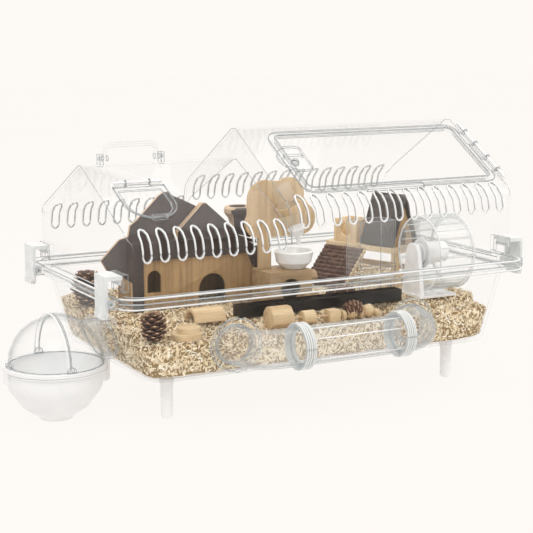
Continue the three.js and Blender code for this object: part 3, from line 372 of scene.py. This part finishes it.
def merge(parts):
    verts, faces = [], []
    for part_verts, part_faces in parts:
        base = len(verts)
        verts += list(part_verts)
        faces += [tuple(i + base for i in f) for f in part_faces]
    return verts, faces


def hoop(middle, radius, axis, thick, start=0, stop=360, tall=None, sides=8):
    """A round wire about X or Z through middle."""
    steps = int((stop - start) / 5)
    points = []
    for k in range(steps if stop - start == 360 else steps + 1):
        a = math.radians(start + (stop - start) * k / steps)
        c, d = radius * math.cos(a), (tall or radius) * math.sin(a)
        points.append(middle + Vector((0, c, d) if axis == "x" else (c, d, 0)))
    return tube(points, thick, sides, closed=stop - start == 360)


def smoothing_group(degrees):
    """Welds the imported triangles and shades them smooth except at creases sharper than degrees."""
    group = bpy.data.node_groups.new(f"soften_{degrees}", "GeometryNodeTree")
    group.interface.new_socket("Geometry", in_out="INPUT", socket_type="NodeSocketGeometry")
    group.interface.new_socket("Geometry", in_out="OUTPUT", socket_type="NodeSocketGeometry")
    add = group.nodes.new
    first, last = add("NodeGroupInput"), add("NodeGroupOutput")
    drop = add("GeometryNodeRemoveAttribute")
    drop.inputs["Name"].default_value = "custom_normal"
    weld = add("GeometryNodeMergeByDistance")
    weld.inputs["Distance"].default_value = 0.000002
    soft, sharp = add("GeometryNodeSetShadeSmooth"), add("GeometryNodeSetShadeSmooth")
    sharp.domain = "EDGE"
    angle = add("GeometryNodeInputMeshEdgeAngle")
    test = add("FunctionNodeCompare")
    test.data_type = "FLOAT"
    test.operation = "LESS_THAN"
    test.inputs["B"].default_value = math.radians(degrees)
    soft.inputs["Shade Smooth"].default_value = True
    link = group.links.new
    link(first.outputs[0], drop.inputs["Geometry"])
    link(drop.outputs["Geometry"], weld.inputs["Geometry"])
    link(weld.outputs["Geometry"], soft.inputs["Geometry"])
    link(soft.outputs["Geometry"], sharp.inputs["Geometry"])
    link(angle.outputs["Unsigned Angle"], test.inputs["A"])
    link(test.outputs["Result"], sharp.inputs["Shade Smooth"])
    link(sharp.outputs["Geometry"], last.inputs[0])
    return group


SOFTEN = smoothing_group(33)


def dress(names, material, edge=0.0):
    """Gives CAD nodes their material and smooth shading; edge is the radius of their eased edges in mm."""
    for name in names.split():
        o = nodes[name]
        for s in o.material_slots:
            s.material = material
        o.modifiers.new("soften", "NODES").node_group = SOFTEN
        if edge:
            flat = o.modifiers.new("flat", "DECIMATE")
            flat.decimate_type = "DISSOLVE"
            flat.angle_limit = math.radians(1.5)
            ease = o.modifiers.new("ease", "BEVEL")
            ease.width = edge / 1000
            ease.segments = 2
            ease.limit_method = "ANGLE"
            ease.angle_limit = math.radians(40)
            o.modifiers.new("soften_again", "NODES").node_group = SOFTEN


# ---------------------------------------------------------------- camera, light and floor
cam_data = bpy.data.cameras.new("camera")
cam = bpy.data.objects.new("camera", cam_data)
bpy.context.scene.collection.objects.link(cam)
cam.location = at(-913.7, -1659.03, 499.71)
cam.rotation_euler = (math.radians(90 - 10.18), 0, -math.radians(28.45))
cam_data.lens = 93.905
cam_data.sensor_width = 36
bpy.context.scene.camera = cam

scene = bpy.context.scene
scene.view_settings.view_transform = "Standard"
scene.cycles.transparent_max_bounces = 64
scene.cycles.max_bounces = 16
scene.cycles.diffuse_bounces = 5

world = bpy.data.worlds.new("studio")
world.use_nodes = True
world.node_tree.nodes["Background"].inputs["Color"].default_value = (*srgb("#fdf9f5"), 1)
world.node_tree.nodes["Background"].inputs["Strength"].default_value = 1.0
scene.world = world


def area(name, where, look, size, power, colour=(1, 1, 1)):
    data = bpy.data.lights.new(name, "AREA")
    data.shape = "RECTANGLE"
    data.size, data.size_y = size
    data.energy = power
    data.color = colour
    lamp = bpy.data.objects.new(name, data)
    scene.collection.objects.link(lamp)
    lamp.location = where
    lamp.rotation_euler = (Vector(look) - Vector(where)).to_track_quat("-Z", "Y").to_euler()
    return lamp


area("key_light", (-0.9, -1.3, 1.9), (0, 0, 0.1), (1.2, 1.2), 16)
area("strip_light", (1.5, -0.6, 1.3), (0, 0, 0.15), (0.4, 1.4), 6)
area("top_light", (0.1, 0.5, 1.7), (0, 0, 0.1), (1.6, 0.9), 8)


def floor_look():
    k = Look("pale_floor")
    where = k.points()
    cloud = k.noise(where, 3, 2)
    tone = k.ramp(cloud, [(0.2, srgb("#fdf9f5")), (0.8, srgb("#fcf8f4"))])
    lit = k.new("BsdfDiffuse", {"Color": tone}).outputs[0]
    glow = k.new("Emission", {"Color": tone, "Strength": 1.0}).outputs[0]
    return k.finish(k.new("MixShader", {"Fac": 0.97, 1: lit, 2: glow}).outputs[0])


floor_mesh = bpy.data.meshes.new("floor")
reach, drop = 9, -0.0004
corners = [(-reach, -reach, drop), (reach, -reach, drop), (reach, reach, drop), (-reach, reach, drop)]
floor_mesh.from_pydata(corners, [], [(0, 1, 2, 3)])
floor_mesh.materials.append(floor_look())
floor = bpy.data.objects.new("floor", floor_mesh)
scene.collection.objects.link(floor)

# ---------------------------------------------------------------- CAD nodes that keep their shape
dress("base_tray top_cover roof_door door_latch_disc feeding_flap", CLEAR)
dress("carry_handle wall_collar_left wall_collar_right bath_port_collar food_hopper", CLEAR_THICK)
dress("tunnel_elbow_left tunnel_elbow_right tunnel_tube bath_port_tube wheel_drum", CLEAR_TUBE)
dress("bath_dome_fixed bath_dome_visor", CLEAR_DOME)
dress("water_bottle", WATER)
dress("latch_front_left latch_rear_left latch_front_right latch_rear_right", MILKY)
dress("coupling_ring_left coupling_ring_right", RING)
dress("foot_front_left foot_front_right foot_rear_left foot_rear_right", WHITE)
dress("door_hinge_pin flap_hinge_pin wheel_hub wheel_stand bottle_spout", WHITE)
dress("bath_bowl", BOWL)
dress("drinking_dish", CERAMIC)
dress("house_front_wall house_back_wall house_side_left house_side_right", TAN_Z, edge=0.4)
dress("house_crown_board house_dormer_board house_chimney", UMBER_Z, edge=0.6)
dress("house_roof_left house_roof_right", UMBER_X, edge=0.5)
dress("deck", PLY_X, edge=0.6)
dress("deck_box", PLY_Z, edge=0.5)
dress("deck_hut", TAN_Z, edge=0.5)
dress("deck_hut_roof", GREY_X, edge=0.5)
dress("bottle_board", BOARD_Z, edge=0.6)
# Dish box and log arch: the pine darkened as painted shade.
dress("dish_box log_arch", SHADED_PINE_X, edge=0.6)
dress("toy_string", TURNED, edge=0.5)
dress("wood_slices half_log", TURNED, edge=0.4)
dress("sand_bath", SMOKED)


# ---------------------------------------------------------------- wood shavings
def shavings_core():
    """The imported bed: the CAD bedding rebuilt as an even mesh and pushed in by lumps."""
    source = nodes["bedding"]
    piece = bpy.data.objects.new("shavings_bed", source.data.copy())
    scene.collection.objects.link(piece)
    remesh = piece.modifiers.new("even", "REMESH")
    remesh.mode = "VOXEL"
    remesh.voxel_size = 0.0042
    bpy.context.view_layer.update()
    even = bpy.data.meshes.new_from_object(piece.evaluated_get(bpy.context.evaluated_depsgraph_get()))
    piece.modifiers.clear()
    piece.data = even
    even.update()
    normals = np.zeros(len(even.vertices) * 3)
    even.vertices.foreach_get("normal", normals)
    normals = normals.reshape(-1, 3)
    co = np.zeros(len(even.vertices) * 3)
    even.vertices.foreach_get("co", co)
    co = co.reshape(-1, 3)
    for i, p in enumerate(co):
        v = Vector(p)
        lump = 0.5 + 0.5 * noise.noise(v * 60) + 0.35 * noise.noise(v * 190)
        depth = 0.0009 + 0.0016 * max(0.0, lump)
        co[i] -= normals[i] * depth
    even.vertices.foreach_set("co", co.ravel())
    even.polygons.foreach_set("use_smooth", [True] * len(even.polygons))
    even.materials.clear()
    even.materials.append(UNDER)
    even.update()
    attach(piece, "base")
    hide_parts("bedding")
    return piece


def chips(core, count, seed):
    """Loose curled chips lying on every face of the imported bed."""
    rng = np.random.default_rng(seed)
    mesh = core.data
    n = len(mesh.polygons)
    area_, centre, normal = np.zeros(n), np.zeros(n * 3), np.zeros(n * 3)
    mesh.polygons.foreach_get("area", area_)
    mesh.polygons.foreach_get("center", centre)
    mesh.polygons.foreach_get("normal", normal)
    centre, normal = centre.reshape(-1, 3), normal.reshape(-1, 3)
    area_[normal[:, 2] < -0.5] = 0
    pick = rng.choice(n, count, p=area_ / area_.sum())
    spread = rng.normal(0, 0.0016, (count, 3))
    up = normal[pick]
    spread -= up * (spread * up).sum(1)[:, None]
    where = centre[pick] + spread
    wall = (1 - np.clip(up[:, 2], 0, 1))[:, None]
    lean = rng.normal(0, 1, (count, 3)) * (0.34 - 0.2 * wall)
    up = up + lean
    up /= np.linalg.norm(up, axis=1)[:, None]
    helper = rng.normal(0, 1, (count, 3))
    along = np.cross(up, helper)
    along /= np.linalg.norm(along, axis=1)[:, None]
    side = np.cross(up, along)
    length = rng.gamma(4.0, 0.0014, count)[:, None].clip(0.0025, 0.014)
    width = (rng.gamma(4.0, 0.00036, count)[:, None]).clip(0.0006, 0.003)
    curl = rng.normal(0, 0.35, count)[:, None]
    twist = rng.normal(0, 0.5, count)[:, None]
    lift = 0.0003 + rng.random(count)[:, None] * (0.0016 - 0.0011 * wall)
    verts = np.zeros((count, 8, 3))
    for i, t in enumerate((-0.5, -0.17, 0.17, 0.5)):
        bow = curl * length * (0.25 - t * t) * 2
        spine = where + along * length * t + up * (lift + bow * (1 - 0.8 * wall))
        turned = side * np.cos(twist * t) + up * np.sin(twist * t)
        half = turned * width * (0.5 if abs(t) < 0.3 else 0.38)
        verts[:, i * 2] = spine - half
        verts[:, i * 2 + 1] = spine + half
    quad = np.array([[0, 1, 3, 2], [2, 3, 5, 4], [4, 5, 7, 6]])
    faces = (np.arange(count)[:, None, None] * 8 + quad[None]).reshape(-1, 4)
    tones = np.repeat(rng.beta(2.6, 1.7, count), 3)
    return verts.reshape(-1, 3), faces, tones


def limit_to_bed(verts):
    """Keeps every chip corner inside the tray's inner walls."""
    low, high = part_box("bedding")
    x0, y0 = MIDDLE.x, MIDDLE.y
    z = verts[:, 2] * 1000
    t = np.clip((z - 56) / (157 - 56), 0, 1)
    hx = (255.5 + (283 - 255.5) * t - 3.5) / 1000
    hy = (147.5 + (157 - 147.5) * t - 3.5) / 1000
    verts[:, 0] = np.clip(verts[:, 0], x0 - hx, x0 + hx)
    verts[:, 1] = np.clip(verts[:, 1], y0 - hy, y0 + hy)
    verts[:, 2] = np.clip(verts[:, 2], low.z, high.z + 0.006)
    return verts


core = shavings_core()
chip_verts, chip_faces, chip_tones = chips(core, 36000, 7)
chip_verts = limit_to_bed(chip_verts)
make(
    "shavings_loose", chip_verts, chip_faces, SHAVING, "base", "wood_shavings", tones=chip_tones, smooth=False
)


# ---------------------------------------------------------------- pine cones
def cone(place, radius, height, turn, seed, rows=9):
    """A pine cone: a core with rows of woody scales in a golden-angle spiral, open towards the top."""
    rng = random.Random(seed)
    verts, faces, tones = [], [], []
    count = rows * 6
    for i in range(count):
        t = (i + 0.5) / count
        belly = math.sin(math.pi * (0.12 + 0.8 * t)) ** 0.7
        r_core = radius * 0.24 * belly + 0.0006
        r_tip = radius * belly * rng.uniform(0.86, 1.0)
        z = height * (0.06 + 0.84 * t)
        a = i * math.radians(137.508)
        rise = height * (0.05 + 0.13 * t)
        out = Vector((math.cos(a), math.sin(a), 0))
        side = Vector((-math.sin(a), math.cos(a), 0))
        up = Vector((0, 0, 1))
        wide = radius * 0.33 * (0.6 + 0.5 * belly)
        thick = radius * 0.07
        rings = [
            (r_core * 0.6, wide * 0.35, z, 0.0),
            (r_core + (r_tip - r_core) * 0.55, wide * 0.9, z + rise * 0.4, 0.3),
            (r_tip * 0.96, wide * 0.78, z + rise, 0.75),
            (r_tip, wide * 0.3, z + rise * 1.25, 1.0),
        ]
        base = len(verts)
        for r, w, h, _ in rings:
            mid = out * r + up * min(h, height * 0.97)
            below = up * thick
            verts += [mid - side * w, mid + side * w]
            verts += [mid + side * w * 0.8 - below, mid - side * w * 0.8 - below]
        for k in range(3):
            p, q = base + k * 4, base + k * 4 + 4
            for m in range(4):
                faces.append((p + m, p + (m + 1) % 4, q + (m + 1) % 4, q + m))
                # Each scale's upper face keeps its tone; its sides and underside take 0.55 of it: painted
                # shade.
                tones.append(rings[k + 1][3] * rng.uniform(0.6, 1.0) * (1.0 if m == 0 else 0.55))
        faces.append((base + 12, base + 13, base + 14, base + 15))
        tones.append(rng.uniform(0.8, 1.0))
    core_verts, core_faces = tube(
        [Vector((0, 0, height * (0.04 + 0.1 * k))) for k in range(10)],
        [radius * 0.28 * math.sin(math.pi * (0.12 + 0.085 * k)) + 0.0004 for k in range(10)],
        12,
    )
    base = len(verts)
    verts += core_verts
    faces += [tuple(i + base for i in f) for f in core_faces]
    tones += [0.08] * len(core_faces)
    return [place + turn @ v for v in verts], faces, tones


def standing_cone(name, node, seed, scale=1.12):
    low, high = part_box(node)
    place = Vector(((low.x + high.x) / 2, (low.y + high.y) / 2, low.z))
    radius = (high.x - low.x) / 2 * scale
    verts, faces, tones = cone(place, radius, high.z - low.z, Matrix.Identity(3), seed)
    make(name, verts, faces, CONE, "base", "pine_cone", (node,), False, tones)


standing_cone("cone_rear", "pine_cone_rear", 3)
standing_cone("cone_front", "pine_cone_front", 5)


def lying_cone(name, start, radius, length, seed, replaces=()):
    """A cone on its side along X, its foot at start."""
    verts, faces, tones = cone(start, radius, length, Matrix.Rotation(math.pi / 2, 3, "Y"), seed)
    make(name, verts, faces, CONE, "base", "pine_cone", replaces, False, tones)


middle_low, middle_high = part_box("pine_cone_middle")
middle_foot = Vector((middle_low.x, (middle_low.y + middle_high.y) / 2, (middle_low.z + middle_high.z) / 2))
lying_cone("cone_middle", middle_foot, 0.0121, middle_high.x - middle_low.x, 9, ("pine_cone_middle",))
toys_low, toys_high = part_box("toy_string")
toy_axis = (toys_low.y + toys_high.y) / 2, (toys_low.z + toys_high.z) / 2
lying_cone("cone_toy", Vector((at(32, 0, 0).x, *toy_axis)), 0.0125, 0.029, 11)


# ---------------------------------------------------------------- stick ladder
def deck_point(x, y, z):
    """A point in the deck's own frame, which is turned in plan."""
    a = math.radians(-68.7)
    return at(192 + x * math.cos(a) - y * math.sin(a), 52 + x * math.sin(a) + y * math.cos(a), z)


def stick(start, end, radius, seed, sides=14, steps=16):
    """A branch with bark: a slightly crooked rod whose surface swells and cracks."""
    rng = random.Random(seed)
    bow = Vector((rng.uniform(-1, 1), rng.uniform(-1, 1), rng.uniform(-1, 1))) * 0.0006
    points = [start.lerp(end, i / steps) + bow * math.sin(math.pi * i / steps) for i in range(steps + 1)]
    verts, faces = tube(points, radius, sides)
    axis = (end - start).normalized()
    for i, v in enumerate(verts):
        middle = start + axis * (v - start).dot(axis)
        rough = noise.noise(v * 260 + Vector((seed, 0, 0))) * 0.00045 + noise.noise(v * 700) * 0.0002
        verts[i] = v + (v - middle).normalized() * (rough - 0.0003)
    return verts, faces


def ladder():
    verts, faces, kinds = [], [], []
    for i in range(10):
        y, z = -36 - 46 * i / 9, 163 - 44 * i / 9
        part_verts, part_faces = stick(deck_point(-60, y, z), deck_point(11, y, z), 0.0043, i + 1)
        base = len(verts)
        verts += part_verts
        faces += [tuple(k + base for k in f) for f in part_faces]
        kinds += [0] * (len(part_faces) - 2) + [1, 1]
    looks = [BARK, CUT_END]
    make("ladder_sticks", verts, faces, looks, "base", "bark", ("stick_ladder",), True, seconds=kinds)


ladder()


# ---------------------------------------------------------------- vent slot rims
def slope_of(eave, ridge, flat):
    return math.atan2(ridge - eave, 159 - flat)


LOW = {"eave": 238, "slope": slope_of(238, 314, 4), "low": 211, "high": 248}
LOW.update(first=-262, pitch=23.1, count=9)
HIGH = {"eave": 262, "slope": slope_of(262, 353, 6), "low": 238, "high": 276}
HIGH.update(first=-45, pitch=23.6, count=14)


def skin(roof, z):
    """How far behind the front face the cover's outer skin is at height z, in mm."""
    bend, slope, eave = 20, roof["slope"], roof["eave"]
    if z <= eave - bend:
        return 0.0
    for k in range(41):
        t = k / 40
        top = eave + bend * math.sin(slope)
        height = (1 - t) ** 2 * (eave - bend) + 2 * t * (1 - t) * eave + t * t * top
        if height >= z:
            return t * t * bend * math.cos(slope)
    return (z - eave) / math.tan(slope)


def slot_rims(name, roof, side):
    """A wire round every slot of one eave. side is -1 for the front and 1 for the rear."""
    half = 5.5
    corner = half * 0.62
    low, high = roof["low"], roof["high"]
    heights = np.linspace(low + half - 0.5, high - half + 0.5, 12)
    parts = []
    for i in range(roof["count"]):
        x = roof["first"] + i * roof["pitch"]
        loop = [(x + half, z) for z in heights]
        loop += [(x + corner, high - 0.8), (x, high + 0.6), (x - corner, high - 0.8)]
        loop += [(x - half, z) for z in heights[::-1]]
        loop += [(x - corner, low + 0.8), (x, low - 0.6), (x + corner, low + 0.8)]
        points = [at(px, side * (159.4 - skin(roof, pz)), pz + 0.3) for px, pz in loop]
        parts.append(tube(points, 0.0012, 6, closed=True))
    verts, faces = merge(parts)
    make(name, verts, faces, RIM_BEAD, "cover", "clear_plastic")


slot_rims("slot_rims_front_low", LOW, -1)
slot_rims("slot_rims_front_high", HIGH, -1)
slot_rims("slot_rims_rear_low", LOW, 1)
slot_rims("slot_rims_rear_high", HIGH, 1)


# ---------------------------------------------------------------- wheel detail
def wheel_detail():
    """Tread bars just inside the drum's outer face and a ring at each end."""
    low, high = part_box("wheel_drum")
    middle = (low + high) / 2
    r = (high.z - low.z) / 2
    parts = []
    for i in range(24):
        a = 2 * math.pi * i / 24
        out = Vector((0, math.cos(a), math.sin(a)))
        start = Vector((low.x + 0.004, middle.y, middle.z)) + out * (r - 0.0033)
        end = Vector((high.x - 0.004, middle.y, middle.z)) + out * (r - 0.0033)
        parts.append(tube([start, end], 0.0008, 8))
    for x in (low.x + 0.0012, high.x - 0.0012):
        ring = []
        for k in range(72):
            a = 2 * math.pi * k / 72
            y, z = middle.y + (r - 0.0012) * math.cos(a), middle.z + (r - 0.0012) * math.sin(a)
            ring.append(Vector((x, y, z)))
        parts.append(tube(ring, 0.0014, 8, closed=True))
    verts, faces = merge(parts)
    make("wheel_bars", verts, faces, RIM_BEAD, "wheel", "clear_plastic")


wheel_detail()


# ---------------------------------------------------------------- rim beads
def loop_points(hx, hy, radius, z, steps=10):
    """A rounded rectangle about the tray's middle, as points in the row frame."""
    points = []
    for cx, cy, a0 in ((1, 1, 0), (-1, 1, 90), (-1, -1, 180), (1, -1, 270)):
        for k in range(steps + 1):
            a = math.radians(a0 + 90 * k / steps)
            x, y = cx * (hx - radius) + radius * math.cos(a), cy * (hy - radius) + radius * math.sin(a)
            points.append(at(x, y, z))
    return points


def rim_bead(hx, hy, z, radius):
    """One bead round the rim, left open where the four latches stand."""
    loop = loop_points(hx, hy, 25, z)
    dense = []
    for i, p in enumerate(loop):
        q = loop[(i + 1) % len(loop)]
        n = max(1, int((q - p).length / 0.004))
        dense += [p.lerp(q, k / n) for k in range(n)]
    gaps = [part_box(f"latch_{side}") for side in ("front_left", "rear_left", "front_right", "rear_right")]

    def free(p):
        clear_x = [p.x < low.x - 0.003 or p.x > high.x + 0.003 for low, high in gaps]
        clear_y = [p.y < low.y - 0.002 or p.y > high.y + 0.002 for low, high in gaps]
        return all(x or y for x, y in zip(clear_x, clear_y))

    open_points = [free(p) for p in dense]
    start = open_points.index(False)
    dense, open_points = dense[start:] + dense[:start], open_points[start:] + open_points[:start]
    parts, run = [], []
    for p, clear in zip(dense + [dense[0]], open_points + [False]):
        if clear:
            run.append(p)
        elif run:
            if len(run) > 2:
                parts.append(tube(run, radius, 8))
            run = []
    return parts


verts, faces = merge(rim_bead(299.2, 173.2, 170.3, 0.0012) + rim_bead(300.2, 174.2, 158.2, 0.0010))
make("rim_beads", verts, faces, RIM_BEAD, "base", "clear_plastic")
verts, faces = merge(rim_bead(300.0, 174.0, 164.5, 0.0008) + rim_bead(289, 163, 170.3, 0.0008))
make("rim_grooves", verts, faces, GREY_BEAD, "base", "clear_plastic")


# ---------------------------------------------------------------- white rod across the food hopper: a painted highlight
low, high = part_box("food_hopper")
highlight_z = low.z + 0.030
highlight_y = low.y + 0.0025
highlight_rod = tube([Vector((low.x + 0.002, highlight_y, highlight_z)), Vector((high.x - 0.002, highlight_y, highlight_z))], 0.0022, 12)
make("hopper_painted_highlight", *highlight_rod, WHITE, "base", "white_plastic")


# ---------------------------------------------------------------- edge lines of the clear parts
def edge_lines(name, node, body, shortest, sharper, thick, material):
    """Thin grey lines just inside every sharp outward edge of a clear part."""
    work = bmesh.new()
    work.from_mesh(nodes[node].data)
    bmesh.ops.remove_doubles(work, verts=work.verts, dist=0.000002)
    bmesh.ops.dissolve_limit(work, angle_limit=math.radians(2), verts=work.verts, edges=work.edges)
    parts = []
    for e in work.edges:
        if len(e.link_faces) != 2 or e.calc_length() < shortest:
            continue
        if e.calc_face_angle_signed(0.0) < math.radians(sharper):
            continue
        inward = (e.link_faces[0].normal + e.link_faces[1].normal).normalized() * (thick * 0.9)
        a, b = (v.co - inward for v in e.verts)
        parts.append(tube([a, b], thick, 5))
    work.free()
    if parts:
        verts, faces = merge(parts)
        make(name, verts, faces, material, body, "clear_plastic")


groups = frame["record"]["behaviour"]["bodies"]
body_of = {node: body for body, members in groups.items() for node in members}
finer = "top_cover carry_handle bath_dome_fixed bath_dome_visor tunnel_elbow_left tunnel_elbow_right".split()
bolder = ["roof_door", "feeding_flap", "door_latch_disc", "food_hopper"]
bolder += ["wall_collar_left", "wall_collar_right", "base_tray"]
for node in finer + bolder:
    thick = 0.0004 if node in finer else 0.0005
    shortest = 0.006 if node in ("top_cover", "base_tray") else 0.001
    material = PALE_LINE if node.startswith(("bath", "tunnel", "wall", "base")) else LINE
    edge_lines(f"lines_{node}", node, body_of[node], shortest, 50, thick, material)


# ---------------------------------------------------------------- tunnel and bath ball detail
ribs = []
for node in ("coupling_ring_left", "coupling_ring_right"):
    low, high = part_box(node)
    middle = (low + high) / 2
    for share in (-0.42, -0.2, 0.02, 0.24, 0.42):
        centre = middle + Vector((share * (high.x - low.x), 0, 0))
        ribs.append(hoop(centre, (high.z - low.z) / 2 - 0.0003, "x", 0.0009))
verts, faces = merge(ribs)
make("ring_ribs", verts, faces, RIM_BEAD, "base", "milky_plastic")

# Three opaque white rods along the tunnel tube, laid like moulding seams, paint its highlight lines: painted
# highlight.
low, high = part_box("tunnel_tube")
middle, r = (low + high) / 2, (high.z - low.z) / 2
highlight_seams = []
for degrees in (112, 150, 215):
    a = math.radians(degrees)
    y, z = middle.y + r * math.cos(a), middle.z + r * math.sin(a)
    highlight_seams.append(tube([Vector((low.x + 0.002, y, z)), Vector((high.x - 0.002, y, z))], 0.0008, 6))
verts, faces = merge(highlight_seams)
make("tunnel_highlight_seams", verts, faces, WHITE, "base", "clear_plastic")

low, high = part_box("bath_bowl")
ball = Vector(((low.x + high.x) / 2, (low.y + high.y) / 2, high.z))
bowl_r = (high.y - low.y) / 2
upper = hoop(ball, bowl_r - 0.0006, "z", 0.0009)
lower = hoop(ball - Vector((0, 0, 0.006)), bowl_r - 0.001, "z", 0.0009)
verts, faces = merge([upper, lower])
make("bowl_lines", verts, faces, BOWL, "base", "white_plastic")
fixed_low, fixed_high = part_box("bath_dome_fixed")
seam = Vector((fixed_low.x + 0.0012, ball.y, fixed_low.z))
wide = (fixed_high.y - fixed_low.y) / 2
verts, faces = hoop(seam, wide, "x", 0.0009, 4, 176, fixed_high.z - fixed_low.z)
make("dome_hoop", verts, faces, RIM_BEAD, "base", "clear_plastic")
